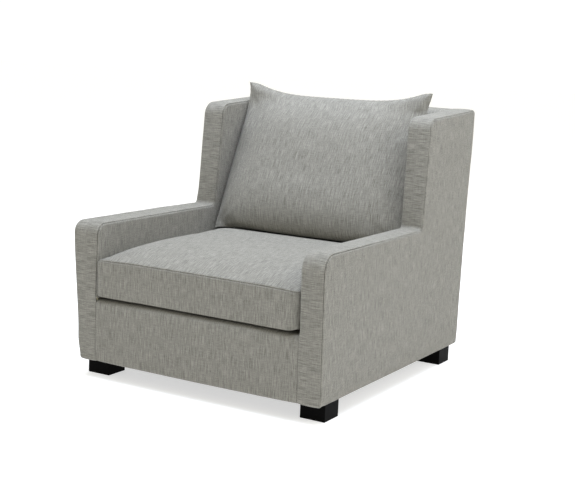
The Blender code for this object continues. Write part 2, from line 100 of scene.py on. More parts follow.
class ChairShape(bpy.types.PropertyGroup):
    """Sizes of the upholstered frame."""

    arm_height: length_value("Arm height", "Top of the arms above the floor", 0.508)
    arm_length: length_value(
        "Arm length", "Depth from the front face to the foot of the wing", 0.6615)
    wing_front: length_value("Wing front", "Depth of the wing's front edge at its top", 0.691)
    wing_height: length_value("Wing height", "Top of the wing at its front edge", 0.8715)
    base_depth: length_value("Base depth", "Depth of the frame at its underside", 1.009)
    side_thickness: length_value("Side thickness", "Thickness of an arm and of a wing", 0.081)
    back_thickness: length_value("Back thickness", "Thickness of the fixed back", 0.113)
    arm_radius: length_value("Arm corner", "Radius of the arm's front top corner", 0.055)
    crook_radius: length_value("Crook", "Radius of the hollow where the wing meets the arm", 0.0125)
    wing_radius: length_value("Wing corner", "Radius of the wing's front top corner", 0.045)
    side_lean: bpy.props.FloatProperty(
        name="Side lean", description="Slope of the sides towards the middle of the chair",
        default=0.020)
    edge_radius: length_value("Edge radius", "Softness of the foam along every seam", 0.0095)
    seam_lip: length_value("Seam lip", "Radius of the cloth where it turns into a seam", 0.0018)
    seam_depth: length_value("Seam depth", "How far the cloth runs into a seam", 0.0035)
    base_tuck: length_value("Base tuck", "How far the sides are drawn in at the underside", 0.0015)
    base_tuck_height: length_value(
        "Base tuck height", "Height over which the sides are drawn in", 0.060)
    left_tuck: length_value(
        "Left tuck", "How far the left side is drawn in near its underside", 0.010)
    left_arm_radius: length_value(
        "Left arm radius", "Radius of the left arm's top front corner", 0.038)
    top_spread: length_value(
        "Top spread", "How far the outer faces stand out towards the chair's top", 0.007)
    arm_spread: length_value(
        "Left arm spread", "How far the left arm's outer face stands out at its top", 0.021)


class CushionShape(bpy.types.PropertyGroup):
    """Sizes of the two loose cushions."""

    seat_edge: length_value("Seat edge", "Height of the seat cushion's top seam", 0.392)
    seat_corner: length_value(
        "Seat corner", "Radius of the seat cushion's left front corner", 0.022)
    seat_right_corner: length_value(
        "Seat right corner", "Radius of the seat cushion's right front corner", 0.036)
    seat_crown: length_value(
        "Seat crown", "Rise of the seat cushion's middle before it is filled", 0.030)
    pillow_side_hollow: length_value(
        "Pillow side hollow", "How far the pillow's side seams curve in", -0.005)
    pillow_ears: length_value("Pillow ears", "How far the pillow's top corners stand up", 0.050)
    pillow_tip_spread: length_value(
        "Pillow tip spread", "How far the pillow's top corners stand out sideways", 0.027)
    pillow_width: length_value("Pillow width", "Width of the back cushion along its seams", 0.738)
    pillow_height: length_value(
        "Pillow height", "Height of the back cushion along its seams", 0.520)
    pillow_thickness: length_value(
        "Pillow thickness", "Thickness of the back cushion at its middle", 0.190)
    pillow_lean: angle_value("Pillow lean", "Angle of the back cushion from upright", 24.0)
    pressure: bpy.props.FloatProperty(
        name="Filling pressure", description="Pressure of the filling against the covers",
        default=4.0)


class ClothLook(bpy.types.PropertyGroup):
    """Colours and weave of the cloths."""

    light: colour_value(
        "Light yarn", "Colour of the light yarns in the cover", (0.292, 0.280, 0.245))
    dark: colour_value("Dark yarn", "Colour of the dark yarns in the cover", (0.112, 0.106, 0.090))
    pitch: length_value("Yarn pitch", "Distance between two neighbouring yarns", 0.0011)
    lining: colour_value(
        "Lining", "Colour of the black lining under the chair", (0.014, 0.014, 0.015))
    deck: colour_value(
        "Deck cloth", "Colour of the cloth under the seat cushion", (0.24, 0.235, 0.21))


class HardLook(bpy.types.PropertyGroup):
    """Colours of the timber, foam and metal."""

    lacquer: colour_value("Foot lacquer", "Colour of the feet", (0.0028, 0.0027, 0.0026))
    timber: colour_value("Timber", "Colour of the frame's bare timber", (0.58, 0.40, 0.22))
    foam: colour_value("Foam", "Colour of the foam padding", (0.80, 0.74, 0.50))
    board: colour_value("Fibreboard", "Colour of the outer boards", (0.33, 0.23, 0.13))


class StudioLight(bpy.types.PropertyGroup):
    """Camera and lights."""

    camera_place: bpy.props.FloatVectorProperty(
        name="Camera place", description="Where the camera stands",
        default=(2.071, -3.535, 1.105), size=3, subtype="TRANSLATION")
    camera_turn: angle_value(
        "Camera turn", "Turn of the camera to the left of the chair's depth", 30.193)
    camera_pitch: angle_value("Camera pitch", "Downward tilt of the camera", 9.402)
    camera_roll: angle_value("Camera roll", "Roll of the camera about its own axis", 2.443)
    camera_lens: bpy.props.FloatProperty(
        name="Lens", description="Focal length in millimetres",
        default=76.3)
    sky: bpy.props.FloatProperty(
        name="Sky", description="Strength of the light from all around",
        default=0.745)
    overhead: bpy.props.FloatProperty(
        name="Overhead light", description="Power of the softbox above the chair",
        default=186.0, unit="POWER")
    side: bpy.props.FloatProperty(
        name="Side light", description="Power of the softbox on the chair's right",
        default=32.0, unit="POWER")


# ---------------------------------------------------------------- shader graphs


class Wire:
    """A shader socket that takes part in Python arithmetic."""

    def __init__(self, graph, socket):
        self.graph = graph
        self.socket = socket

    def __add__(self, other):
        return self.graph.maths("ADD", self, other)

    def __radd__(self, other):
        return self.graph.maths("ADD", other, self)

    def __sub__(self, other):
        return self.graph.maths("SUBTRACT", self, other)

    def __rsub__(self, other):
        return self.graph.maths("SUBTRACT", other, self)

    def __mul__(self, other):
        return self.graph.maths("MULTIPLY", self, other)

    def __rmul__(self, other):
        return self.graph.maths("MULTIPLY", other, self)

    def sine(self):
        return self.graph.maths("SINE", self)

    def size(self):
        return self.graph.maths("ABSOLUTE", self)

    def above(self, other):
        return self.graph.maths("MAXIMUM", self, other)

    def between(self, low, high):
        """0 below low, 1 above high and a smooth step in between."""
        return self.graph.node(
            "ShaderNodeMapRange", {"interpolation_type": "SMOOTHSTEP"},
            {"Value": self, "From Min": low, "From Max": high})


class Graph:
    """One material and the nodes that make it."""

    def __init__(self, name):
        self.material = bpy.data.materials.new(name)
        self.material.use_nodes = True
        self.tree = self.material.node_tree
        self.shader = self.tree.nodes["Principled BSDF"]

    def feed(self, socket, value):
        if isinstance(value, Wire):
            self.tree.links.new(value.socket, socket)
        else:
            socket.default_value = value

    def node(self, kind, settings=None, inputs=None, output=0):
        """A new node: its settings are set first, then its sockets are given values or links."""
        made = self.tree.nodes.new(kind)
        for name, value in (settings or {}).items():
            setattr(made, name, value)
        for name, value in (inputs or {}).items():
            self.feed(made.inputs[name], value)
        return Wire(self, made.outputs[output])

    def maths(self, operation, *values):
        return self.node("ShaderNodeMath", {"operation": operation}, dict(enumerate(values)))

    def blend(self, factor, low, high):
        """A colour between two colours."""
        sockets = {"Factor": factor, 6: (*low, 1.0), 7: (*high, 1.0)}
        return self.node("ShaderNodeMix", {"data_type": "RGBA"}, sockets, output=2)

    def tint(self, factor, under, colour):
        """A colour wire with a plain colour laid over it by factor."""
        sockets = {"Factor": factor, 6: under, 7: (*colour, 1.0)}
        return self.node("ShaderNodeMix", {"data_type": "RGBA"}, sockets, output=2)

    def axes(self, vector):
        """The three parts of a vector wire."""
        split = self.tree.nodes.new("ShaderNodeSeparateXYZ")
        self.feed(split.inputs[0], vector)
        return [Wire(self, out) for out in split.outputs]

    def place(self):
        return self.node("ShaderNodeTexCoord", output=3)

    def cloth_place(self):
        return self.node("ShaderNodeUVMap", {"uv_map": UV_NAME})

    def vector(self, x, y, z=0.0):
        return self.node("ShaderNodeCombineXYZ", None, {"X": x, "Y": y, "Z": z})

    def noise(self, vector, detail=2.0, roughness=0.5, scale=1.0, dimensions="3D"):
        sockets = {"Vector": vector, "Scale": scale, "Detail": detail, "Roughness": roughness}
        return self.node("ShaderNodeTexNoise", {"noise_dimensions": dimensions}, sockets)

    def bump(self, height, distance, strength=1.0):
        sockets = {"Height": height, "Distance": distance, "Strength": strength}
        return self.node("ShaderNodeBump", None, sockets)

    def finish(self, sockets):
        """Feed the shader and hand over the material."""
        for name, value in sockets.items():
            self.feed(self.shader.inputs[name], value)
        return self.material


def cached(make):
    """Make each material once and hand out the same one after that."""
    made = {}

    def get(*choices):
        if choices not in made:
            made[choices] = make(*choices)
        return made[choices]

    return get


# ---------------------------------------------------------------- cloths


def plain_weave(u, v, pitch):
    """Height of a plain weave, 0 between yarns and 1 on top of them."""
    across = (u * (math.pi / pitch)).sine()
    along = (v * (math.pi / pitch)).sine()
    over = 0.5 + 0.5 * (across * along)
    warp = across.size() * over
    weft = along.size() * (1.0 - over)
    return warp.above(weft)


def yarn_streaks(graph, u, v):
    """Uneven yarns: long ones up the cloth, shorter ones across it, and thick slubs."""
    long_yarns = graph.noise(graph.vector(u * 360.0, v * 24.0), 3.0, 0.65, dimensions="2D")
    cross_yarns = graph.noise(graph.vector(u * 34.0, v * 380.0), 3.0, 0.65, dimensions="2D")
    slubs = graph.noise(graph.vector(u * 300.0, v * 34.0, 3.7), 1.0, 0.4)
    cross_slubs = graph.noise(graph.vector(u * 38.0, v * 300.0, 9.1), 1.0, 0.4)
    return long_yarns, cross_yarns, slubs.between(0.60, 0.78), cross_slubs.between(0.62, 0.80)


@cached
def cover_cloth():
    """Linen-look cover: a melange plain weave with slubs, soft sheen and faint clouding."""
    look = bpy.context.scene.armchair_cloth
    graph = Graph("cover_cloth")
    u, v = graph.axes(graph.cloth_place())[:2]
    drift = graph.noise(graph.cloth_place(), 1.0, 0.5, scale=45.0)
    u_wavy = u + (drift - 0.5) * 0.0016
    v_wavy = v + (drift - 0.5) * 0.0022
    threads = plain_weave(u_wavy, v_wavy, look.pitch)
    long_yarns, cross_yarns, slubs, cross_slubs = yarn_streaks(graph, u, v)
    clouds = graph.noise(graph.place(), 3.0, 0.55, scale=9.0)
    fleck = graph.noise(graph.vector(u * 900.0, v * 900.0), 1.0, 0.5, dimensions="2D")
    tone = 0.5 + (long_yarns - 0.5) * 1.75 + (cross_yarns - 0.5) * 0.75
    tone = tone + slubs * 0.18 + cross_slubs * 0.09 + (fleck - 0.5) * 1.05
    tone = tone + (threads - 0.55) * 0.60 + (clouds - 0.5) * 0.14
    colour = graph.blend(tone, look.dark, look.light)
    height = threads + slubs * 0.35 + cross_slubs * 0.25 + long_yarns * 0.3
    return graph.finish({
        "Base Color": colour,
        "Roughness": 0.93 - slubs * 0.10 - threads * 0.06,
        "Sheen Weight": 0.12,
        "Sheen Roughness": 0.45,
        "Specular IOR Level": 0.18,
        "Normal": graph.bump(height, 0.00045, 0.75),
    })


@cached
def plain_cloth(name, red, green, blue, pitch, shine):
    """A plainer cloth: deck cloth, lining, webbing and zip tape."""
    graph = Graph(name)
    u, v = graph.axes(graph.cloth_place())[:2]
    threads = plain_weave(u, v, pitch)
    long_yarns, cross_yarns, slubs, _ = yarn_streaks(graph, u, v)
    clouds = graph.noise(graph.place(), 3.0, 0.55, scale=12.0)
    tone = 0.15 + threads * 0.45 + long_yarns * 0.3 + cross_yarns * 0.2 + (clouds - 0.5) * 0.3
    dark = [part * 0.62 for part in (red, green, blue)]
    light = [part * 1.30 for part in (red, green, blue)]
    return graph.finish({
        "Base Color": graph.blend(tone, dark, light),
        "Roughness": 0.90 - threads * 0.12,
        "Sheen Weight": shine,
        "Specular IOR Level": 0.2,
        "Normal": graph.bump(threads + slubs * 0.3, pitch * 0.35, 0.7),
    })


# ---------------------------------------------------------------- hard finishes


@cached
def timber(axis):
    """Bare planed timber whose grain runs along one axis of the chair."""
    look = bpy.context.scene.armchair_hard
    graph = Graph("timber_" + "xyz"[axis])
    parts = graph.axes(graph.place())
    squeeze = [38.0, 38.0, 38.0]
    squeeze[axis] = 2.2
    stretched = graph.vector(*[part * times for part, times in zip(parts, squeeze)])
    rings = graph.noise(stretched, 4.0, 0.55)
    bands = (rings * 42.0).sine() * 0.5 + 0.5
    fine = [420.0, 420.0, 420.0]
    fine[axis] = 9.0
    pores = graph.noise(graph.vector(*[p * t for p, t in zip(parts, fine)]), 2.0, 0.5)
    tone = bands * 0.55 + pores * 0.45
    dark = [part * 0.66 for part in look.timber]
    colour = graph.tint(pores.between(0.62, 0.74) * 0.35, graph.blend(tone, dark, look.timber),
                        [part * 0.45 for part in look.timber])
    return graph.finish({
        "Base Color": colour,
        "Roughness": 0.58 + bands * 0.14,
        "Normal": graph.bump(bands * 0.4 + pores, 0.0004, 0.5),
    })


@cached
def foot_lacquer():
    """Black satin lacquer over close-grained wood, with a painted highlight along its sharp edges."""
    look = bpy.context.scene.armchair_hard
    graph = Graph("black_lacquer")
    x, y, z = graph.axes(graph.place())
    grain = graph.noise(graph.vector(x * 260.0, y * 260.0, z * 14.0), 3.0, 0.6)
    clouds = graph.noise(graph.place(), 2.0, 0.5, scale=30.0)
    # painted highlight: the lacquer is made lighter where its edges are sharp, as if light caught them
    painted_edge_highlight = graph.node("ShaderNodeNewGeometry", output=7).between(0.56, 0.72)
    lighter = [part * 2.0 + 0.001 for part in look.lacquer]
    colour = graph.blend(grain * 0.35 + painted_edge_highlight * 0.4, look.lacquer, lighter)
    return graph.finish({
        "Base Color": colour,
        "Roughness": 0.36 + (clouds - 0.5) * 0.16 + grain * 0.08,
        "Specular IOR Level": 0.015,
        "Normal": graph.bump(grain, 0.00018, 0.5),
    })


@cached
def foam_rubber():
    """Cut polyurethane foam: fine open cells and a slightly yellowed skin."""
    look = bpy.context.scene.armchair_hard
    graph = Graph("foam")
    cells = graph.node("ShaderNodeTexVoronoi", {"feature": "F1"},
                       {"Vector": graph.place(), "Scale": 620.0})
    patches = graph.noise(graph.place(), 3.0, 0.6, scale=14.0)
    dark = [part * 0.72 for part in look.foam]
    tone = cells * 0.5 + patches * 0.7
    return graph.finish({
        "Base Color": graph.blend(tone, dark, look.foam),
        "Roughness": 0.92 + (patches - 0.5) * 0.1,
        "Normal": graph.bump(cells, 0.0008, 0.6),
    })


@cached
def fibreboard():
    """Brown board of pressed fibres."""
    look = bpy.context.scene.armchair_hard
    graph = Graph("fibreboard")
    fibres = graph.noise(graph.place(), 5.0, 0.7, scale=170.0)
    patches = graph.noise(graph.place(), 2.0, 0.5, scale=20.0)
    dark = [part * 0.6 for part in look.board]
    return graph.finish({
        "Base Color": graph.blend(fibres * 0.8 + patches * 0.25, dark, look.board),
        "Roughness": 0.74 + fibres * 0.16,
        "Normal": graph.bump(fibres, 0.0003, 0.6),
    })


@cached
def metal(name, red, green, blue, base_roughness):
    """Drawn wire and small pressed metal parts, with fine scratches and dull spots."""
    graph = Graph(name)
    scratches = graph.noise(graph.place(), 3.0, 0.6, scale=900.0)
    spots = graph.noise(graph.place(), 3.0, 0.6, scale=60.0)
    dark = [part * 0.62 for part in (red, green, blue)]
    return graph.finish({
        "Base Color": graph.blend(spots * 0.7 + scratches * 0.3, dark, (red, green, blue)),
        "Metallic": 1.0,
        "Roughness": base_roughness + (spots - 0.5) * 0.20 + scratches * 0.06,
        "Normal": graph.bump(scratches, 0.00005, 0.5),
    })


# ---------------------------------------------------------------- outlines


def left_of(direction):
    return Vector((-direction.y, direction.x))


def corner_arc(before, corner, after, radius, step):
    """Points and outward normals round one corner of a clockwise outline."""
    first = (corner - before).normalized()
    last = (after - corner).normalized()
    turn = first.angle_signed(last)
    if abs(turn) < 0.001 or radius == 0.0:
        return [(corner, left_of((first + last).normalized()))]
    reach = radius * math.tan(abs(turn) / 2)
    outward = 1.0 if turn > 0 else -1.0
    centre = corner - first * reach - left_of(first) * radius * outward
    count = max(4, math.ceil(radius * abs(turn) / step))
    start = math.atan2(first.y, first.x)
    arc = []
    for i in range(count + 1):
        angle = start - turn * i / count
        normal = left_of(Vector((math.cos(angle), math.sin(angle))))
        arc.append((centre + normal * radius * outward, normal))
    return arc


def stations(corners, closed=False, step=0.008, arc_step=0.003):
    """Points and outward normals along a clockwise outline of (depth, z, radius) corners."""
    points = [Vector(corner[:2]) for corner in corners]
    count = len(points)
    runs = []
    for i, corner in enumerate(corners):
        if closed or 0 < i < count - 1:
            runs.append(corner_arc(points[i - 1], points[i], points[(i + 1) % count], corner[2],
                                   arc_step))
        else:
            other = points[1] if i == 0 else points[-2]
            along = (other - points[i]).normalized() * (1 if i == 0 else -1)
            runs.append([(points[i], left_of(along))])
    made = []
    for i, run in enumerate(runs):
        made += run
        if i == count - 1 and not closed:
            break
        start, end = run[-1][0], runs[(i + 1) % count][0][0]
        gap = end - start
        normal = left_of(gap.normalized())
        pieces = max(1, round(gap.length / step))
        made += [(start + gap * j / pieces, normal) for j in range(1, pieces)]
    return made


def rear_depth(z):
    """Depth of the raked rear face at height z."""
    shape = bpy.context.scene.armchair_shape
    return shape.base_depth + (DEPTH - shape.base_depth) * (z - FLOOR_GAP) / (TOP - FLOOR_GAP)


def side_corners(side=1):
    """The side seen from the right, clockwise from the bottom front corner."""
    shape = bpy.context.scene.armchair_shape
    arm_radius = shape.arm_radius if side > 0 else shape.left_arm_radius
    soft = shape.edge_radius + 0.0005
    return [
        (0.0, FLOOR_GAP, soft),
        (0.0, shape.arm_height, arm_radius),
        (shape.arm_length, shape.arm_height, shape.crook_radius),
        (shape.wing_front, shape.wing_height, shape.wing_radius),
        (DEPTH, TOP, soft + 0.003),
        (shape.base_depth, FLOOR_GAP, soft),
    ]


# ---------------------------------------------------------------- seams


SEAM_ARC = 5
SEAM_GAP = 0.00015


def corner_seam():
    """Half of a seam on a rounded corner, as (run in from the edge, drop below the face)."""
    shape = bpy.context.scene.armchair_shape
    radius, lip = shape.edge_radius, shape.seam_lip
    turn = math.pi / 4 - math.asin((lip + SEAM_GAP) / (radius - lip))
    centre = Vector((radius, radius))
    lip_centre = centre - (radius - lip) * Vector((math.sin(turn), math.cos(turn)))
    points = []
    for i in range(SEAM_ARC):
        angle = turn + (0.75 * math.pi - turn) * (1.0 - i / SEAM_ARC)
        points.append(lip_centre - lip * Vector((math.sin(angle), math.cos(angle))))
    bottom = points[0] + Vector((1.0, 1.0)).normalized() * shape.seam_depth
    for i in range(SEAM_ARC + 1):
        angle = turn * (1.0 - i / SEAM_ARC)
        points.append(centre - radius * Vector((math.sin(angle), math.cos(angle))))
    return [bottom] + points


def flat_seam():
    """Half of a seam between two faces that lie flush, with as many points as corner_seam."""
    shape = bpy.context.scene.armchair_shape
    lip = shape.seam_lip
    points = [Vector((SEAM_GAP, lip + shape.seam_depth))]
    for i in range(SEAM_ARC):
        angle = math.pi / 2 * (1.0 - i / SEAM_ARC)
        points.append(Vector((lip + SEAM_GAP - lip * math.sin(angle), lip - lip * math.cos(angle))))
    for i in range(SEAM_ARC + 1):
        run = lip + (shape.edge_radius - lip) * i / SEAM_ARC
        points.append(Vector((run + SEAM_GAP, 0.0)))
    return points


def under_curl():
    """Where a cover curls under the chair, with as many points as corner_seam."""
    radius = bpy.context.scene.armchair_shape.edge_radius
    points = []
    for i in range(SEAM_ARC + 1):
        points.append(Vector((0.0, radius + 0.002 * (1.0 - i / (SEAM_ARC + 1)))))
    for i in range(SEAM_ARC + 1):
        angle = math.pi / 2 * (1.0 - i / SEAM_ARC)
        points.append(Vector((radius - radius * math.sin(angle),
                              radius - radius * math.cos(angle))))
    return points


def mixed(first, second, share):
    """Two edge profiles blended point by point."""
    return [a.lerp(b, share) for a, b in zip(first, second)]


def smooth(low, high, value):
    """0 below low, 1 above high and a smooth step in between."""
    t = min(1.0, max(0.0, (value - low) / (high - low)))
    return t * t * (3.0 - 2.0 * t)


# ---------------------------------------------------------------- making covers


def drape(point):
    """Lean the sides, draw the covers in at the base and spread the left arm at its top."""
    shape = bpy.context.scene.armchair_shape
    x, y, z = point
    depth = y - FRONT_Y
    inner = HALF_WIDTH - shape.side_thickness
    outwards = min(1.0, max(0.0, (abs(x) - inner) / shape.side_thickness))
    side = 1.0 if x > 0 else -1.0
    low = 1.0 - smooth(FLOOR_GAP, FLOOR_GAP + shape.base_tuck_height, z)
    spread = -shape.base_tuck * low * outwards
    spread += shape.top_spread * smooth(shape.arm_height - 0.20, TOP, z) * outwards
    if side < 0:
        rise = smooth(0.16, shape.arm_height, z)
        towards_front = 1.0 - smooth(0.40, shape.arm_length + 0.12, depth)
        above_arm = 1.0 - smooth(shape.arm_height, shape.arm_height + 0.06, z)
        spread += shape.arm_spread * rise * towards_front * above_arm * outwards
        spread -= shape.arm_spread * 0.35 * (1.0 - smooth(0.10, 0.32, z)) * outwards
        spread -= shape.left_tuck * (1.0 - smooth(FLOOR_GAP, 0.135, z)) * outwards
    x += side * spread
    x *= 1.0 - shape.side_lean * max(0.0, z - FLOOR_GAP) / HALF_WIDTH
    return Vector((x, y, z))


def wander(place, amount):
    """Small unevenness of stretched cloth over foam."""
    broad = noise.noise(Vector(place) * 7.0)
    fine = noise.noise(Vector(place) * 23.0 + Vector((5.0, 9.0, 2.0)))
    return amount * (broad + 0.35 * fine)


def mesh_object(name, points, faces, uvs):
    """A smooth mesh object from points, faces and a cloth place for each point."""
    mesh = bpy.data.meshes.new(name)
    mesh.from_pydata([tuple(p) for p in points], [], faces)
    layer = mesh.uv_layers.new(name=UV_NAME)
    corner_points = np.zeros(len(mesh.loops), np.int32)
    mesh.loops.foreach_get("vertex_index", corner_points)
    layer.data.foreach_set("uv", np.asarray(uvs, np.float32)[corner_points].ravel())
    mesh.polygons.foreach_set("use_smooth", [True] * len(mesh.polygons))
    mesh.update()
    made = bpy.data.objects.new(name, mesh)
    bpy.context.scene.collection.objects.link(made)
    return made


def select_none():
    bpy.ops.object.select_all(action="DESELECT")


def select_only(obj):
    select_none()
    obj.select_set(True)
    bpy.context.view_layer.objects.active = obj


def apply_all(obj):
    """Apply every modifier of a piece."""
    select_only(obj)
    for modifier in list(obj.modifiers):
        bpy.ops.object.modifier_apply(modifier=modifier.name)


def thicken(obj, thickness=COVER_THICK):
    """Turn an open skin into a closed cloth that lies just inside it."""
    wall = obj.modifiers.new("cloth thickness", "SOLIDIFY")
    wall.thickness = thickness
    wall.offset = -1.0
    apply_all(obj)


def settle(obj, body, material, replaced):
    """Finish a piece: its material, the body that it rides on and the node that it stands for."""
    obj.data.materials.clear()
    obj.data.materials.append(material)
    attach(obj, body)
    if replaced:
        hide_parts(*replaced)
    return obj


def cover(obj, node):
    """Finish an open skin as a cut cloth that replaces a CAD node."""
    width, length = cut_size(obj)
    thicken(obj)
    settle(obj, "frame", cover_cloth(), [node])
    return obj


def cut_size(obj):
    """Width and length of the cloth as it was cut, from its place on the roll."""
    layer = obj.data.uv_layers[UV_NAME].data
    places = np.zeros(len(layer) * 2, np.float32)
    layer.foreach_get("uv", places)
    spans = np.ptp(places.reshape(-1, 2), axis=0)
    return float(min(spans)), float(max(spans))


def grid_faces(rows, columns, flipped=False):
    """Faces of a grid of points, row after row."""
    faces = []
    for row in range(rows - 1):
        for column in range(columns - 1):
            a = row * columns + column
            face = (a, a + 1, a + columns + 1, a + columns)
            faces.append(face[::-1] if flipped else face)
    return faces


def point_faces_out(obj, outside):
    """Turn all faces of an open skin the same way, towards the outside direction."""
    select_only(obj)
    bpy.ops.object.mode_set(mode="EDIT")
    bpy.ops.mesh.select_all(action="SELECT")
    bpy.ops.mesh.normals_make_consistent(inside=False)
    bpy.ops.object.mode_set(mode="OBJECT")
    total = sum((face.normal * face.area for face in obj.data.polygons), Vector())
    if total.dot(outside) < 0:
        obj.data.flip_normals()


def section(low, high, low_edge, high_edge, crown, count):
    """Cross-section of a wall between two x places, as (x, drop), with count flat steps."""
    first = [(low + p.x, p.y) for p in low_edge]
    last = [(high - p.x, p.y) for p in high_edge]
    start, end = first[-1][0], last[-1][0]
    middle = [(start + (end - start) * i / count, 0.0) for i in range(1, count)]
    made = []
    for x, drop in first + middle + last[::-1]:
        t = min(1.0, max(-1.0, (2.0 * x - low - high) / (high - low)))
        made.append((x, drop - crown * (1.0 - abs(t) ** 2.6)))
    return made


def wall(name, path, cut, along_warp, unevenness=0.0007, end_seams=(False, False)):
    """A cover swept along a path of (point, normal), with cut(i, depth, z) as its section."""
    shape = bpy.context.scene.armchair_shape
    travelled = [0.0]
    for (a, _), (b, _) in zip(path, path[1:]):
        travelled.append(travelled[-1] + (b - a).length)
    rows, uvs = [], []
    total = travelled[-1]
    for (place, normal), done in zip(path, travelled):
        profile = cut(place)
        end_drop = 0.0
        lip = shape.seam_lip
        for wanted, distance in zip(end_seams, (done, total - done)):
            if wanted and distance < lip:
                end_drop += lip - math.sqrt(lip * lip - (lip - distance) ** 2)
                if distance == 0.0:
                    end_drop += shape.seam_depth
        for x, drop in profile:
            spot = (x, to_y(place.x), place.y)
            lift = wander(spot, unevenness) - drop - end_drop
            seat = place + normal * lift
            rows.append(drape((x, to_y(seat.x), seat.y)))
            uvs.append((x, done) if along_warp else (done, x))
    return mesh_object(name, rows, grid_faces(len(path), len(profile)), uvs)


def with_lip_stations(path, at_start, at_end):
    """Add close stations at the path's ends, so that the cloth can turn into its end seams."""
    lip = bpy.context.scene.armchair_shape.seam_lip
    steps = [0.0, 0.06, 0.2, 0.4, 0.7, 1.0]

    def close(first, second):
        gap = second[0] - first[0]
        made = []
        for share in steps:
            t = share * lip * 1.02 / gap.length
            made.append((first[0] + gap * t, first[1].lerp(second[1], t).normalized()))
        return made

    if at_start:
        path = close(path[0], path[1]) + path[1:]
    if at_end:
        path = path[:-1] + close(path[-1], path[-2])[::-1]
    return path


# ---------------------------------------------------------------- the side's strip and panels


def rail_seam(side, z):
    """X of the seam between a side's strip and the front panel."""
    shape = bpy.context.scene.armchair_shape
    inner = HALF_WIDTH - shape.side_thickness
    drawn = 0.007 * (1.0 - smooth(FLOOR_GAP, FLOOR_GAP + 0.060, z)) if side < 0 else 0.0
    return side * (inner - drawn)


def make_strip(label, side):
    """The boxing strip that runs up the front, over the arm, up the wing and to the rear."""
    shape = bpy.context.scene.armchair_shape
    corners = side_corners(side)
    start = (shape.edge_radius + 0.003, FLOOR_GAP, 0.0)
    rear = corners[4]
    path = stations([start] + corners[:4] + [rear, (rear_depth(TOP - 0.1), TOP - 0.1, 0.0)],
                    step=0.007)
    middle = half_way_round(path, rear)
    path = with_lip_stations(path[:middle + 1], False, True)
    sharp, flush = corner_seam(), flat_seam()

    def cut(place):
        on_front = place.x < 0.2 and place.y < shape.arm_height
        low_share = 1.0 - smooth(DECK - 0.012, DECK + 0.020, place.y) if on_front else 0.0
        back_share = smooth(rear_depth(place.y) - shape.back_thickness + 0.005,
                            rear_depth(place.y) - shape.back_thickness + 0.035, place.x)
        inner_edge = mixed(sharp, flush, max(low_share, back_share))
        inner = abs(rail_seam(side, place.y)) if on_front else HALF_WIDTH - shape.side_thickness
        if side > 0:
            return section(inner, HALF_WIDTH, inner_edge, sharp, 0.0022, 9)
        return section(-HALF_WIDTH, -inner, sharp, inner_edge, 0.0022, 9)

    obj = wall(f"{label}_strip", path, cut, False, 0.0006, (False, True))
    point_faces_out(obj, Vector((0.0, -1.0, 1.0)))
    return cover(obj, f"{label}_boxing_strip")


def half_way_round(path, corner):
    """Index of the station nearest to the middle of a corner."""
    target = Vector(corner[:2])
    return min(range(len(path)), key=lambda i: (path[i][0] - target).length)


def edge_of_side(place):
    """Share of the curl-under edge at a station of the side's outline, from 0 to 1."""
    shape = bpy.context.scene.armchair_shape
    if place.y > FLOOR_GAP + 0.001:
        return 0.0
    near_front = smooth(0.014, 0.035, place.x)
    near_rear = smooth(0.014, 0.035, shape.base_depth - place.x)
    return min(near_front, near_rear)


def side_panel(name, outline, edges, face_x, inward, crown, unevenness):
    """A flat cover with shaped edges: rings along its outline and a filled middle."""
    rings = len(edges[0])
    points, uvs = [], []
    for ring in range(rings):
        for (place, normal), edge in zip(outline, edges):
            run, drop = edge[ring]
            flat = place - normal * run
            points.append((face_x + inward * drop, to_y(flat.x), flat.y))
            uvs.append((flat.x - normal.x * drop, flat.y - normal.y * drop))
    count = len(outline)
    faces = []
    for ring in range(rings - 1):
        for i in range(count):
            j = (i + 1) % count
            a, b = ring * count + i, ring * count + j
            faces.append((a, b, b + count, a + count))
    inner_ring = [Vector((points[(rings - 1) * count + i][1], points[(rings - 1) * count + i][2]))
                  for i in range(count)]
    filled, triangles = fill_outline(inner_ring, 0.011)
    base = (rings - 1) * count
    number = {i: base + i for i in range(count)}
    for i, spot in enumerate(filled[count:]):
        number[count + i] = len(points)
        points.append((face_x, spot.x, spot.y))
        uvs.append((spot.x - FRONT_Y, spot.y))
    faces += [tuple(number[i] for i in triangle) for triangle in triangles]
    rim = np.array([tuple(p) for p in inner_ring])
    shaped = []
    for x, y, z in points:
        near = math.sqrt(((rim - (y, z)) ** 2).sum(1).min())
        inside = x == face_x
        rise = crown * (1.0 - math.exp(-near / 0.045)) if inside else 0.0
        rise += wander((x, y, z), unevenness)
        shaped.append(drape((x - inward * rise, y, z)))
    return mesh_object(name, shaped, faces, uvs)


def fill_outline(rim, step):
    """Points inside a closed outline on a staggered grid, and the triangles between all."""
    low_x, high_x = min(p.x for p in rim), max(p.x for p in rim)
    low_y, high_y = min(p.y for p in rim), max(p.y for p in rim)
    edge = np.array([tuple(p) for p in rim])
    following = np.roll(edge, -1, axis=0)
    inside = []
    row = 0
    height = step * math.sqrt(3.0) / 2.0
    while low_y + row * height < high_y:
        y = low_y + row * height
        crossing = (edge[:, 1] > y) != (following[:, 1] > y)
        cuts = edge[crossing, 0] + (y - edge[crossing, 1]) * (
            following[crossing, 0] - edge[crossing, 0]) / (
            following[crossing, 1] - edge[crossing, 1])
        x = low_x + (row % 2) * step / 2
        while x < high_x:
            if (cuts > x).sum() % 2 == 1:
                near = ((edge - (x, y)) ** 2).sum(1).min()
                if near > (step * 0.55) ** 2:
                    inside.append(Vector((x, y)))
            x += step
        row += 1
    everything = list(rim) + inside
    loop = list(range(len(rim)))
    faces, first_points = delaunay_2d_cdt(everything, [], [loop], 1, 1e-7)[2:4]
    origin = [sources[0] for sources in first_points]
    triangles = [tuple(origin[i] for i in face) for face in faces]
    return everything, triangles


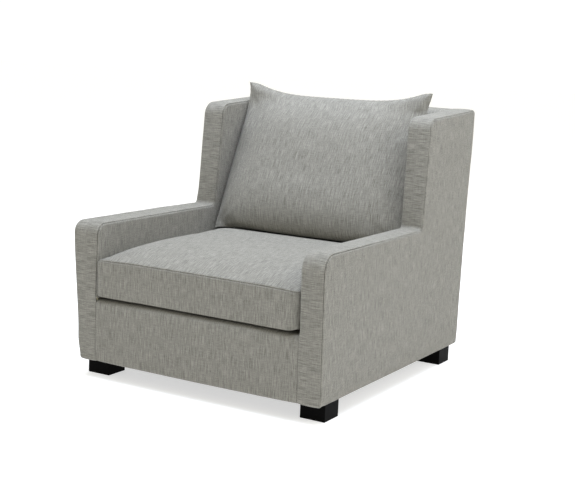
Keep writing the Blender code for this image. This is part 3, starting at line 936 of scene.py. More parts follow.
def make_outside_panel(label, side):
    """The cover on the outside of an arm and wing."""
    outline = stations(side_corners(side), closed=True, step=0.007)
    seam, curl = corner_seam(), under_curl()
    edges = [mixed(seam, curl, edge_of_side(place)) for place, _ in outline]
    obj = side_panel(f"{label}_outside_panel", outline, edges, side * HALF_WIDTH, -side, 0.0022,
                     0.0009)
    point_faces_out(obj, Vector((side, 0.0, 0.0)))
    return cover(obj, f"{label}_outside_cover")


def make_inside_panel(label, side):
    """The cover on the inside of an arm and wing, from the deck up and back to the fixed back."""
    shape = bpy.context.scene.armchair_shape
    corners = side_corners(side)
    face = HALF_WIDTH - shape.side_thickness
    rear_top = rear_depth(TOP) - shape.back_thickness + 0.040
    rear_low = rear_depth(DECK) - shape.back_thickness + 0.040
    slope = (TOP - shape.wing_height) / (DEPTH - shape.wing_front)
    high = TOP - slope * (DEPTH - rear_top)
    soft = shape.edge_radius + 0.001
    outline = stations([
        (0.0, DECK + 0.002, soft),
        *corners[1:4],
        (rear_top, high, soft),
        (rear_low, DECK + 0.002, soft),
    ], closed=True, step=0.007)
    seam = corner_seam()
    bare = [Vector((shape.edge_radius * i / (len(seam) - 1), 0.0)) for i in range(len(seam))]
    edges = []
    for place, normal in outline:
        seamed = max(smooth(0.2, 0.8, -normal.x), smooth(0.2, 0.8, normal.y))
        edges.append(mixed(bare, seam, seamed))
    obj = side_panel(f"{label}_inside_panel", outline, edges, side * face, side, 0.0012, 0.0007)
    point_faces_out(obj, Vector((-side, 0.0, 0.0)))
    return cover(obj, f"{label}_inside_cover")


# ---------------------------------------------------------------- front and back covers


def make_front_panel():
    """The cover of the rail below the seat cushion, wrapped over its top edge."""
    shape = bpy.context.scene.armchair_shape
    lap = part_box("front_cover")[1].y - FRONT_Y
    path = stations([
        (shape.edge_radius + 0.003, FLOOR_GAP, 0.0),
        (0.0, FLOOR_GAP, shape.edge_radius + 0.0005),
        (0.0, DECK, 0.017),
        (lap, DECK - 0.001, 0.0),
    ], step=0.007)
    flush = flat_seam()

    def cut(place):
        return section(rail_seam(-1, place.y), rail_seam(1, place.y), flush, flush, 0.0030, 74)

    obj = wall("front_panel", path, cut, True, 0.0009)
    point_faces_out(obj, Vector((0.0, -1.0, 0.3)))
    return cover(obj, "front_cover")


def make_inside_back():
    """The cover on the front and top of the fixed back."""
    shape = bpy.context.scene.armchair_shape
    corners = side_corners()
    rear = corners[4]
    half = HALF_WIDTH - shape.side_thickness
    front_top = TOP - 0.006
    path = stations([
        (rear_depth(DECK) - shape.back_thickness, DECK + 0.001, 0.0),
        (rear_depth(front_top) - shape.back_thickness, front_top, 0.030),
        rear,
        (rear_depth(TOP - 0.1), TOP - 0.1, 0.0),
    ], step=0.008)
    path = with_lip_stations(path[:half_way_round(path, rear) + 1], False, True)
    flush = flat_seam()

    def cut(place):
        return section(-half, half, flush, flush, 0.0016, 74)

    obj = wall("inside_back_panel", path, cut, True, 0.0009, (False, True))
    point_faces_out(obj, Vector((0.0, -1.0, 0.5)))
    return cover(obj, "inside_back_cover")


def make_outside_back():
    """The cover on the rear of the chair."""
    shape = bpy.context.scene.armchair_shape
    corners = side_corners()
    slope_end = (shape.wing_front, shape.wing_height, 0.0)
    path = stations([
        slope_end,
        corners[4],
        corners[5],
        (shape.base_depth - shape.edge_radius - 0.003, FLOOR_GAP, 0.0),
    ], step=0.008)
    path = with_lip_stations(path[half_way_round(path, corners[4]):], True, False)
    sharp = corner_seam()

    def cut(place):
        return section(-HALF_WIDTH, HALF_WIDTH, sharp, sharp, 0.0030, 82)

    obj = wall("outside_back_panel", path, cut, True, 0.0010, (True, False))
    point_faces_out(obj, Vector((0.0, 1.0, 0.0)))
    return cover(obj, "outside_back_cover")


# ---------------------------------------------------------------- foam and boards


FOAM_EDGE = 0.006
FOAM_SHARP = math.radians(35.0)
BORDER_CLEAR = 0.0018
BORDER_DEPTH = 0.017
BORDER_EDGE = 0.0125


def make_foam(node, name, radius):
    """Cut foam with softened edges in place of a plain CAD pad."""
    obj = bpy.data.objects.new(name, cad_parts[node].data.copy())
    bpy.context.scene.collection.objects.link(obj)
    select_only(obj)
    bpy.ops.object.mode_set(mode="EDIT")
    bpy.ops.mesh.select_all(action="SELECT")
    bpy.ops.mesh.remove_doubles(threshold=0.00002)
    bpy.ops.mesh.dissolve_limited(angle_limit=math.radians(2.0))
    bpy.ops.mesh.normals_make_consistent(inside=False)
    bpy.ops.object.mode_set(mode="OBJECT")
    soft = obj.modifiers.new("soft edges", "BEVEL")
    soft.width = radius
    soft.segments = 3
    soft.limit_method = "ANGLE"
    soft.angle_limit = math.radians(40.0)
    apply_all(obj)
    bpy.ops.object.shade_smooth_by_angle(angle=FOAM_SHARP)
    settle(obj, "frame", foam_rubber(), [node])
    return obj


def bar_section(low, high, near, far, radius):
    """Cross-section of a foam border with two rounded outer edges, as a closed (x, drop) loop."""
    loop = [(low, far), (low, near + radius)]
    for i in range(1, 5):
        angle = math.pi / 8 * i
        loop.append((low + radius * (1 - math.cos(angle)), near + radius * (1 - math.sin(angle))))
    for i in range(4):
        angle = math.pi / 8 * i
        loop.append((high - radius * (1 - math.sin(angle)), near + radius * (1 - math.cos(angle))))
    return loop + [(high, near + radius), (high, far)]


def make_border(name, node, path, side):
    """The foam under a side's strip, swept along the side's outline."""
    shape = bpy.context.scene.armchair_shape
    clear = COVER_THICK + BORDER_CLEAR
    inner = HALF_WIDTH - shape.side_thickness + clear
    low, high = sorted((side * inner, side * (HALF_WIDTH - clear)))
    loop = bar_section(low, high, clear, clear + BORDER_DEPTH, BORDER_EDGE)
    count = len(loop)
    points = []
    for place, normal in path:
        for x, drop in loop:
            spot = place - normal * drop
            points.append(drape((x, to_y(spot.x), spot.y)))
    faces = [tuple(range(count)), tuple(reversed(range(len(points) - count, len(points))))]
    for row in range(len(path) - 1):
        for i in range(count):
            a, b = row * count + i, row * count + (i + 1) % count
            faces.append((a, a + count, b + count, b))
    obj = mesh_object(name, points, faces, [(0.0, 0.0)] * len(points))
    close_shell(obj)
    bpy.ops.object.shade_smooth_by_angle(angle=FOAM_SHARP)
    settle(obj, "frame", foam_rubber(), [node])
    return obj


def close_shell(obj):
    """Merge what meets and turn every face of a closed shell outwards."""
    select_only(obj)
    bpy.ops.object.mode_set(mode="EDIT")
    bpy.ops.mesh.select_all(action="SELECT")
    bpy.ops.mesh.remove_doubles(threshold=0.000005)
    bpy.ops.mesh.normals_make_consistent(inside=False)
    bpy.ops.object.mode_set(mode="OBJECT")


def make_borders(label, side):
    """Foam borders of one side: one round the arm and one round the wing."""
    shape = bpy.context.scene.armchair_shape
    corners = side_corners(side)
    split = shape.arm_length - 2 * shape.crook_radius
    arm = stations([(0.0, FLOOR_GAP + 0.012, 0.0), corners[1], (split, shape.arm_height, 0.0)],
                   step=0.012)
    make_border(f"{label}_arm_border_foam", f"{label}_arm_border_pad", arm, side)
    rear_end = DEPTH - 0.014
    slope = (TOP - shape.wing_height) / (DEPTH - shape.wing_front)
    wing = stations([(split + 0.001, shape.arm_height, 0.0), *corners[2:4],
                     (rear_end, TOP - slope * (DEPTH - rear_end), 0.0)], step=0.012)
    make_border(f"{label}_wing_border_foam", f"{label}_wing_border_pad", wing, side)


def make_board(label, side):
    """The fibreboard on the outside of a side, cut to the outline and stapled inside the border."""
    edge = 0.0215
    low_front, arm, crook, wing, high_rear, low_rear = side_corners(side)
    rim = stations([
        (low_front[0] + edge, low_front[1] + edge, 0.004),
        (arm[0] + edge, arm[1] - edge, 0.035),
        (crook[0] + edge, crook[1] - edge, 0.030),
        (wing[0] + edge, wing[1] - edge, 0.030),
        (high_rear[0] - edge, high_rear[1] - edge * 1.3, 0.004),
        (low_rear[0] - edge, low_rear[1] + edge, 0.004),
    ], closed=True, step=0.012, arc_step=0.005)
    face = side * (HALF_WIDTH - COVER_THICK - 0.0022)
    filled, triangles = fill_outline([Vector((to_y(p.x), p.y)) for p, _ in rim], 0.045)
    points = [drape((face, p.x, p.y)) for p in filled]
    obj = mesh_object(f"{label}_fibreboard", points, triangles, [tuple(p) for p in filled])
    point_faces_out(obj, Vector((side, 0.0, 0.0)))
    thicken(obj, 0.0055)
    bpy.ops.object.shade_smooth_by_angle(angle=math.radians(30.0))
    return settle(obj, "frame", fibreboard(), [f"{label}_outer_board"])


# ---------------------------------------------------------------- loose cushions


def inflate(points, faces, pressure, cap):
    """Blow a closed skin up with Cloth and hand back its points, none moved further than cap."""
    start = np.array([tuple(p) for p in points], float)
    mesh = bpy.data.meshes.new("blown")
    mesh.from_pydata(start.tolist(), [], faces)
    blown = bpy.data.objects.new("blown", mesh)
    bpy.context.scene.collection.objects.link(blown)
    cloth = blown.modifiers.new("cloth", "CLOTH")
    cloth.settings.quality = 6
    cloth.settings.use_pressure = True
    cloth.settings.uniform_pressure_force = pressure
    cloth.settings.bending_stiffness = 1.5
    cloth.settings.effector_weights.gravity = 0.0
    cloth.collision_settings.use_collision = False
    scene = bpy.context.scene
    for number in range(1, 21):
        scene.frame_set(number)
    ready = blown.evaluated_get(bpy.context.evaluated_depsgraph_get())
    moved = np.zeros(len(points) * 3, np.float32)
    ready.data.vertices.foreach_get("co", moved)
    moved = moved.reshape(-1, 3).astype(float)
    bpy.data.objects.remove(blown)
    bpy.data.meshes.remove(mesh)
    scene.frame_set(1)
    shift = moved - start
    length = np.linalg.norm(shift, axis=1, keepdims=True)
    soft = cap * np.tanh(length / cap)
    return start + shift * soft / np.maximum(length, 1e-9)


def spline_rows(values, places):
    """Catmull-Rom samples of an array's rows at fractional places."""
    last = len(values) - 1
    base = np.clip(np.floor(places).astype(int), 0, last - 1)
    t = (places - base).reshape(-1, *([1] * (values.ndim - 1)))
    before = np.where(base[:, None, None] > 0, values[np.maximum(base - 1, 0)],
                      2 * values[0] - values[1])
    after = np.where(base[:, None, None] < last - 1, values[np.minimum(base + 2, last)],
                     2 * values[last] - values[last - 1])
    a, b = values[base], values[base + 1]
    slope_a, slope_b = (b - before) / 2, (after - a) / 2
    return ((2 * t ** 3 - 3 * t ** 2 + 1) * a + (t ** 3 - 2 * t ** 2 + t) * slope_a
            + (3 * t ** 2 - 2 * t ** 3) * b + (t ** 3 - t ** 2) * slope_b)


def resample(grid, rows, columns):
    """A grid of points sampled at fractional rows and columns."""
    tall = spline_rows(grid, rows)
    return spline_rows(tall.transpose(1, 0, 2), columns).transpose(1, 0, 2)


def fine_places(count, length, step, edge_steps):
    """Fractional places along count coarse cells: close ones at both ends, then even ones."""
    cell = length / count
    near = np.array(edge_steps) / cell
    even = np.linspace(near[-1], count - near[-1], max(3, round(length / step)))
    return np.concatenate([near[:-1], even, (count - near[:-1])[::-1]])


def unit_normals(grid, flipped=False):
    """Normals of a grid of points from its own differences."""
    along = np.gradient(grid, axis=0)
    across = np.gradient(grid, axis=1)
    normal = np.cross(across, along)
    normal /= np.maximum(np.linalg.norm(normal, axis=2, keepdims=True), 1e-12)
    return -normal if flipped else normal


def edge_distance(grid):
    """Along the cloth: distances to the nearer row and column edges, then runs from the first."""
    def run(values, axis):
        steps = np.linalg.norm(np.diff(values, axis=axis), axis=2)
        zero = np.zeros_like(np.take(steps, [0], axis=axis))
        done = np.concatenate([zero, np.cumsum(steps, axis=axis)], axis=axis)
        return np.minimum(done, np.take(done, [-1], axis=axis) - done), done

    down, down_run = run(grid, 0)
    over, over_run = run(grid, 1)
    return down, over, down_run, over_run


def groove(distance, depth, width):
    """How far the cloth sinks at a distance from a seam."""
    return depth * np.exp(-(distance / width) ** 1.3)


def cushion_object(name, patches):
    """Join patches of (points, cloth places, flipped) into one closed, smooth mesh."""
    points, faces, uvs = [], [], []
    for grid, places, flipped in patches:
        rows, columns = grid.shape[:2]
        base = len(points)
        faces += [tuple(base + i for i in face) for face in grid_faces(rows, columns, flipped)]
        points += grid.reshape(-1, 3).tolist()
        uvs += places.reshape(-1, 2).tolist()
    obj = mesh_object(name, points, faces, uvs)
    close_shell(obj)
    return obj


def rounded_plan(x, depth, half, front, corner):
    """Bend a rectangle's two front corners into quarter circles."""
    a = np.clip((np.abs(x) - (half - corner)) / corner, 0.0, 1.0)
    b = np.clip((front + corner - depth) / corner, 0.0, 1.0)
    round_a = a * np.sqrt(1.0 - b * b / 2.0)
    round_b = b * np.sqrt(1.0 - a * a / 2.0)
    x = np.where((a > 0) & (b > 0), np.sign(x) * (half - corner + corner * round_a), x)
    depth = np.where((a > 0) & (b > 0), front + corner - corner * round_b, depth)
    return x, depth


def rim_of(grid):
    """The points round a grid, once round from its first corner."""
    return np.concatenate([grid[0], grid[1:, -1], grid[-1, -2::-1], grid[-2:0:-1, 0]])


SEAT_COLUMNS = 60
SEAT_ROWS = 70
SEAT_BOX_ROWS = 9
FLANGE_WIDTH = 0.0072
FLANGE_RISE = 0.0026
STITCH_PITCH = 0.0056
STITCH_DEPTH = 0.0036
SEAM_PULL = 0.0028
SEAM_PULL_WIDTH = 0.0030
FRONT_BULGE = 0.009
EXTRA_CROWN = 0.0148
PRESSED_SHARE = 0.38
LEFT_FLARE = 0.022
FRONT_DROOP = 0.0105


def smooth_step(low, high, values):
    """smooth() for a whole array."""
    t = np.clip((values - low) / (high - low), 0.0, 1.0)
    return t * t * (3.0 - 2.0 * t)


def seat_start():
    """The boxed seat cushion before it is filled: top, bottom and boxing as coarse grids."""
    look = bpy.context.scene.armchair_cushions
    low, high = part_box("seat_cushion")
    half, front, rear = high.x - 0.0015, low.y - FRONT_Y + 0.001, high.y - FRONT_Y - 0.001
    across = np.linspace(-1.0, 1.0, SEAT_COLUMNS + 1)
    along = np.linspace(0.0, 1.0, SEAT_ROWS + 1)
    u, v = np.meshgrid(across, along)
    corner_radius = np.where(u > 0, look.seat_right_corner, look.seat_corner)
    x, depth = rounded_plan(u * half, front + v * (rear - front), half, front, corner_radius)
    crown = (1.0 - np.abs(u) ** 10.0) * (1.0 - np.abs(2.0 * v - 1.0) ** 3.4)
    corner = np.abs(u) ** 6 * (1.0 - v) ** 8
    top_z = look.seat_edge + look.seat_crown * crown - 0.006 * corner
    top = np.stack([x, FRONT_Y + depth, top_z], -1)
    bottom = np.stack([x, FRONT_Y + depth, low.z + 0.001 + 0.002 * corner], -1)
    upper, lower = rim_of(top), rim_of(bottom)
    share = np.linspace(0.0, 1.0, SEAT_BOX_ROWS + 1)[:, None, None]
    boxing = upper * (1.0 - share) + lower * share
    return top, bottom, boxing


def press_into_place(grids, low, high, middle):
    """Scale a filled cushion back into its own space, keeping the height of its top seam."""
    everything = np.concatenate([grid.reshape(-1, 3) for grid in grids])
    least, most = everything.min(0), everything.max(0)
    for grid in grids:
        for axis in (0, 1):
            share = (grid[..., axis] - least[axis]) / (most[axis] - least[axis])
            grid[..., axis] = low[axis] + share * (high[axis] - low[axis])
        z = grid[..., 2]
        above = (z - middle) * (high[2] - middle) / (most[2] - middle)
        below = (z - middle) * (middle - low[2]) / (middle - least[2])
        grid[..., 2] = middle + np.where(z > middle, above, below)


def make_seat_cushion():
    """Boxed seat cushion: crowned top, topstitched upper seam and plain lower seam."""
    look = bpy.context.scene.armchair_cushions
    top, bottom, boxing = seat_start()
    top, bottom, boxing = blow_boxed(top, bottom, boxing, look.pressure, 0.012)
    low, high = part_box("seat_cushion")
    wide = float(arm_limit(0.0, 0.33)) + 0.0005
    press_into_place((top, bottom, boxing), (-wide, low.y - FRONT_BULGE, low.z + 0.0008),
                     (wide, high.y - 0.0004, high.z + EXTRA_CROWN), look.seat_edge)
    pressed = 1.0 - PRESSED_SHARE * smooth_step(0.045, 0.105, top[..., 1])
    top[..., 2] = look.seat_edge + (top[..., 2] - look.seat_edge) * pressed
    for grid in (top, bottom, boxing):
        ahead = 1.0 - smooth_step(FRONT_Y - 0.005, FRONT_Y + 0.020, grid[..., 1])
        edge_share = np.clip(-grid[..., 0] / wide, 0.0, 1.0) ** 4
        grid[..., 0] *= 1.0 + LEFT_FLARE * ahead * edge_share
        limit = arm_limit(grid[..., 1], grid[..., 2])
        grid[..., 0] = np.clip(grid[..., 0], -limit, limit)
        low_part = 1.0 - smooth_step(low.z, low.z + 0.030, grid[..., 2])
        over_rail = 1.0 - smooth_step(FRONT_Y - 0.006, FRONT_Y + 0.008, grid[..., 1])
        grid[..., 2] -= FRONT_DROOP * low_part * over_rail
    edge = [0.0, 0.0006, 0.0013, 0.0022, 0.0034, 0.0048, 0.0060, 0.0068, 0.0076, 0.0092, 0.0125]
    columns = fine_places(SEAT_COLUMNS, high.x - low.x, 0.0068, edge)
    rows = fine_places(SEAT_ROWS, high.y - low.y, 0.0068, edge)
    box_rows = fine_places(SEAT_BOX_ROWS, look.seat_edge - low.z, 0.008, edge[:6])
    top_fine, bottom_fine = resample(top, rows, columns), resample(bottom, rows, columns)
    round_places = np.concatenate([
        columns, SEAT_COLUMNS + rows[1:],
        2 * SEAT_COLUMNS + SEAT_ROWS - columns[-2::-1],
        2 * (SEAT_COLUMNS + SEAT_ROWS) - rows[-2::-1]])
    closed = np.concatenate([boxing, boxing[:, :1]], axis=1)
    box_fine = resample(closed, box_rows, round_places)
    box_fine[0], box_fine[-1] = closed_rim(top_fine), closed_rim(bottom_fine)
    patches = sew_boxed(top_fine, bottom_fine, box_fine)
    obj = cushion_object("seat_cushion_cover", patches)
    settle(obj, "seat", cover_cloth(), ["seat_cushion"])
    return obj


def lean_at(z):
    """How much narrower the chair is at height z than at its base."""
    shape = bpy.context.scene.armchair_shape
    return 1.0 - shape.side_lean * np.maximum(0.0, z - FLOOR_GAP) / HALF_WIDTH


def arm_limit(y, z):
    """Half the room between the arms at a place, less a little so that the cushion slides."""
    shape = bpy.context.scene.armchair_shape
    inner = HALF_WIDTH - shape.side_thickness
    ahead = 0.008 * (1.0 - np.clip((y - FRONT_Y) / shape.edge_radius, 0.0, 1.0)) ** 2
    ahead = ahead + 1.5 * np.clip(FRONT_Y - y, 0.0, None)
    return (inner - 0.0022 + ahead) * lean_at(z)


def closed_rim(grid):
    rim = rim_of(grid)
    return np.concatenate([rim, rim[:1]])


def blow_boxed(top, bottom, boxing, pressure, cap):
    """Fill a boxed cushion and hand its three grids back."""
    rows, columns = top.shape[:2]
    numbers = np.arange(rows * columns).reshape(rows, columns)
    rim = rim_of(numbers)
    around = len(rim)
    inner_rows = boxing.shape[0] - 2
    box_base = 2 * rows * columns
    points = np.concatenate([top.reshape(-1, 3), bottom.reshape(-1, 3),
                             boxing[1:-1].reshape(-1, 3)])
    levels = [rim]
    levels += [box_base + np.arange(around) + i * around for i in range(inner_rows)]
    levels.append(rim + rows * columns)
    faces = grid_faces(rows, columns)
    faces += [tuple(i + rows * columns for i in face)
              for face in grid_faces(rows, columns, True)]
    for upper, lower in zip(levels, levels[1:]):
        for i in range(around):
            j = (i + 1) % around
            faces.append((int(upper[i]), int(lower[i]), int(lower[j]), int(upper[j])))
    moved = inflate(points, faces, pressure, cap)
    top = moved[:rows * columns].reshape(top.shape)
    bottom = moved[rows * columns:box_base].reshape(bottom.shape)
    middle = moved[box_base:].reshape(inner_rows, around, 3)
    boxing = np.concatenate([rim_of(top)[None], middle, rim_of(bottom)[None]])
    return top, bottom, boxing


def seam_pull(grid):
    """How the cloth near the edges of a grid is drawn inwards, along itself, by its seams."""
    down, over, _, _ = edge_distance(grid)
    pull = np.zeros_like(grid)
    for axis, distance in ((0, down), (1, over)):
        tangent = np.gradient(grid, axis=axis)
        tangent /= np.maximum(np.linalg.norm(tangent, axis=2, keepdims=True), 1e-12)
        count = grid.shape[axis]
        first_half = np.arange(count) < count / 2
        inwards = np.where(first_half, 1.0, -1.0).reshape((-1, 1, 1) if axis == 0 else (1, -1, 1))
        pull += tangent * inwards * groove(distance, SEAM_PULL, SEAM_PULL_WIDTH)[..., None]
    return pull


def sew_boxed(top, bottom, boxing):
    """Sink the seams, raise the topstitched flange and lay the cloth out for its weave."""
    down, over, down_run, over_run = edge_distance(top)
    away = np.minimum(down, over)
    normal = unit_normals(top)
    run = np.where(down < over, over_run, down_run)
    stitch = 0.5 + 0.5 * np.cos(run * (2 * math.pi / STITCH_PITCH))
    step_down = 1.0 - 1.0 / (1.0 + np.exp(-(away - FLANGE_WIDTH) / 0.0004))
    flange = FLANGE_RISE * np.clip(away / 0.002, 0, 1) * step_down
    line = STITCH_DEPTH * np.exp(-((away - FLANGE_WIDTH) / 0.0012) ** 2) * (0.45 + 0.55 * stitch)
    pucker = 0.0005 * np.sin(run * (2 * math.pi / 0.016)) * np.exp(-(away / 0.012) ** 2)
    sink = groove(away, 0.0046, 0.0017)
    top = top + seam_pull(top) + normal * (flange - line - sink + pucker)[..., None]
    top_uv = top[..., :2].copy()
    b_down, b_over, _, _ = edge_distance(bottom)
    bottom = bottom + unit_normals(bottom, True) * -groove(np.minimum(b_down, b_over), 0.0010,
                                                           0.0012)[..., None]
    x_down, _, x_run, x_over = edge_distance(boxing)
    box_normal = unit_normals(boxing, True)
    box_normal[:, 0] = box_normal[:, -1] = (box_normal[:, 1] + box_normal[:, -2]) / 2
    near_top = x_run < 0.03
    box_sink = np.where(near_top, groove(x_down, 0.0034, 0.0014), groove(x_down, 0.0022, 0.0012))
    ripple = 0.0004 * np.sin(x_over * (2 * math.pi / 0.019)) * np.exp(-(x_run / 0.014) ** 2)
    boxing = boxing + box_normal * (ripple - box_sink)[..., None]
    box_uv = np.stack([x_over, -x_run], -1)
    boxing[0], boxing[-1] = closed_rim(top), closed_rim(bottom)
    return [(top, top_uv, False), (bottom, bottom[..., :2].copy(), True), (boxing, box_uv, True)]


PILLOW_COLUMNS = 56
PILLOW_ROWS = 42


def pillow_place():
    """Matrix from the pillow's own plane to the chair: x across, y thickness, z up it."""
    look = bpy.context.scene.armchair_cushions
    low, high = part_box("back_zip")
    up = Vector((0.0, math.sin(look.pillow_lean), math.cos(look.pillow_lean)))
    foot = (low + high) / 2 + up * 0.0012
    return Matrix.Translation(foot) @ Matrix.Rotation(-look.pillow_lean, 4, "X")


def to_chair(local):
    """Pillow points from its own plane to the chair, narrowed as the chair's sides lean in."""
    place = np.array(pillow_place())
    world = local @ place[:3, :3].T + place[:3, 3]
    world[..., 0] *= lean_at(world[..., 2])
    return world


def pillow_start():
    """The two panels of the back cushion before it is filled, in its own plane."""
    look = bpy.context.scene.armchair_cushions
    u, v = np.meshgrid(np.linspace(-1.0, 1.0, PILLOW_COLUMNS + 1),
                       np.linspace(-1.0, 1.0, PILLOW_ROWS + 1))
    half = look.pillow_width / 2
    high = np.clip(v, 0.0, 1.0)
    tip = np.abs(u) ** 6 * high ** 8
    near_tip = np.clip(1.0 - (1.0 - np.abs(u)) / 0.11, 0.0, 1.0) * np.clip(
        1.0 - (1.0 - v) / 0.11, 0.0, 1.0)
    blunt = near_tip ** 1.5
    curl = u ** 6 * high ** 4
    droop = u ** 14 * np.clip(-v, 0.0, 1.0) ** 6
    x = u * (half - look.pillow_side_hollow * (1.0 - v * v) + look.pillow_tip_spread * tip)
    ears = look.pillow_ears * u ** 4 * high
    x -= 0.010 * np.sign(u) * blunt
    z = (v + 1.0) / 2.0 * look.pillow_height + ears - 0.017 * blunt - 0.013 * droop
    rounding = np.where(v < 0, 6.0, 3.4)
    full = ((1.0 - np.abs(u) ** 2.8) * (1.0 - np.abs(v) ** rounding)) ** 0.60 * (1.0 - 0.10 * v)
    depth = (look.pillow_thickness / 2 - 0.014) * full
    ahead = -0.020 * curl - 0.004 * droop
    return [np.stack([x, ahead + facing * depth, z], -1) for facing in (-1.0, 1.0)]


def pillow_folds(grid, facing):
    """Soft folds that run in from the corners and a shallow hollow low in the middle."""
    look = bpy.context.scene.armchair_cushions
    half = look.pillow_width / 2
    x, z = grid[..., 0], grid[..., 2]
    rise = np.zeros_like(x)
    for corner_x in (-half, half):
        for corner_z, strength in ((0.0, 1.0), (look.pillow_height, 0.55)):
            away_x, away_z = np.abs(x - corner_x), np.abs(z - corner_z)
            distance = np.hypot(away_x, away_z)
            angle = np.arctan2(away_z, away_x + 1e-6)
            ripple = np.sin(angle * 11.0 + corner_x * 4.0 + facing)
            fade = np.exp(-((distance - 0.075) / 0.060) ** 2)
            rise += 0.0011 * strength * ripple * fade
    low_hollow = np.exp(-((z - 0.13) / 0.05) ** 2) * np.exp(-(x / 0.24) ** 4)
    return rise - 0.0022 * low_hollow


def rest_on_seat(points):
    """Let the pillow's lower front sag until it lies on the seat cushion."""
    seat = bpy.data.objects["seat_cushion_cover"]
    tree = BVHTree.FromObject(seat, bpy.context.evaluated_depsgraph_get())
    low_limit = points[..., 2].min() + 0.075
    flat = points.reshape(-1, 3)
    for point in flat:
        if point[2] > low_limit:
            continue
        hit = tree.ray_cast(Vector((point[0], point[1], 1.0)), Vector((0.0, 0.0, -1.0)))[0]
        if hit is not None:
            point[2] = max(point[2], hit.z + 0.0012)
    return flat.reshape(points.shape)


def make_back_cushion():
    """Knife-edge back cushion with pulled corners, leaning on the fixed back."""
    look = bpy.context.scene.armchair_cushions
    front, rear = pillow_start()
    rows, columns = front.shape[:2]
    numbers = np.arange(rows * columns).reshape(rows, columns)
    shared = {int(a + rows * columns): int(a) for a in rim_of(numbers)}
    faces = grid_faces(rows, columns, True)
    faces += [tuple(shared.get(i + rows * columns, i + rows * columns) for i in face)
              for face in grid_faces(rows, columns)]
    used = sorted({i for face in faces for i in face})
    order = {old: new for new, old in enumerate(used)}
    both = np.concatenate([front.reshape(-1, 3), rear.reshape(-1, 3)])
    faces = [tuple(order[i] for i in face) for face in faces]
    moved = inflate(both[used], faces, look.pressure, 0.022)
    moved[:, 1] *= look.pillow_thickness / 2 / np.abs(moved[:, 1]).max()
    back_again = np.array([order[shared.get(i, i)] for i in range(2 * rows * columns)])
    everything = hold_rim(moved[back_again].reshape(2, rows, columns, 3), front)
    edge = [0.0, 0.0007, 0.0016, 0.0028, 0.0045, 0.0070, 0.0105]
    column_places = fine_places(PILLOW_COLUMNS, look.pillow_width, 0.0062, edge)
    row_places = fine_places(PILLOW_ROWS, look.pillow_height, 0.0062, edge)
    patches = []
    for grid, facing in ((everything[0], -1.0), (everything[1], 1.0)):
        fine = resample(grid, row_places, column_places)
        down, over, down_run, over_run = edge_distance(fine)
        away = np.minimum(down, over)
        run = np.where(down < over, over_run, down_run)
        pucker = 0.0006 * np.sin(run * (2 * math.pi / 0.021)) * np.exp(-(away / 0.016) ** 2)
        rise = pucker - groove(away, 0.0014, 0.0016)
        rise += pillow_folds(fine, facing) * np.clip(away / 0.03, 0.0, 1.0)
        rise[[0, -1]] = 0.0
        rise[:, [0, -1]] = 0.0
        fine = fine + unit_normals(fine, facing < 0) * rise[..., None]
        if facing < 0:
            belly = np.exp(-(fine[..., 2] / 0.085) ** 2) * np.clip(-fine[..., 1] / 0.05, 0.0, 1.0)
            belly *= 1.0 - (np.abs(fine[..., 0]) / (look.pillow_width / 2)).clip(0.0, 1.0) ** 5
            fine = fine - belly[..., None] * np.array([0.0, 0.004, 0.032])
        fine = rest_on_seat(to_chair(fine))
        patches.append((fine, np.stack([over_run, down_run], -1), facing < 0))
    obj = cushion_object("back_cushion_cover", patches)
    settle(obj, "pillow", cover_cloth(), ["back_cushion"])
    return obj


def hold_rim(panels, start):
    """Put the seam round two filled panels back where it was sewn, easing off inwards."""
    rows, columns = start.shape[:2]
    row, column = np.indices((rows, columns))
    inwards = np.minimum(np.minimum(row, rows - 1 - row), np.minimum(column, columns - 1 - column))
    slip = (panels[0] - start) * (inwards == 0)[..., None]
    share = np.exp(-inwards / 3.0)
    side = np.where(column < columns / 2, 0, columns - 1)
    end = np.where(row < rows / 2, 0, rows - 1)
    to_side, to_end = np.minimum(column, columns - 1 - column), np.minimum(row, rows - 1 - row)
    pull = np.where((to_side < to_end)[..., None], slip[row, side], slip[end, column])
    return panels - pull[None] * share[None, ..., None]


# ---------------------------------------------------------------- linings and webs


def make_lining(name, node, sag, material):
    """A flat lining pulled tight over its node's place, sagging a little away from its edges."""
    low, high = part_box(node)
    across = np.linspace(low.x + 0.0004, high.x - 0.0004, 62)
    along = np.linspace(low.y + 0.0004, high.y - 0.0004, 66)
    x, y = np.meshgrid(across, along)
    edge = np.minimum(np.minimum(x - low.x, high.x - x), np.minimum(y - low.y, high.y - y))
    slack = 1.0 - np.exp(-np.clip(edge - 0.03, 0.0, None) / 0.05)
    points, uvs = [], []
    for place, loose in zip(np.stack([x, y], -1).reshape(-1, 2), slack.reshape(-1)):
        ripple = noise.noise(Vector((place[0] * 9.0, place[1] * 9.0, 1.0)))
        z = high.z - 0.0003 - sag * loose * (0.75 + 0.5 * ripple)
        points.append((place[0], place[1], z))
        uvs.append(tuple(place))
    obj = mesh_object(name, points, grid_faces(66, 62), uvs)
    point_faces_out(obj, Vector((0.0, 0.0, 1.0)))
    width, length = cut_size(obj)
    thicken(obj, 0.0012)
    settle(obj, "frame", material, [node])
    return obj


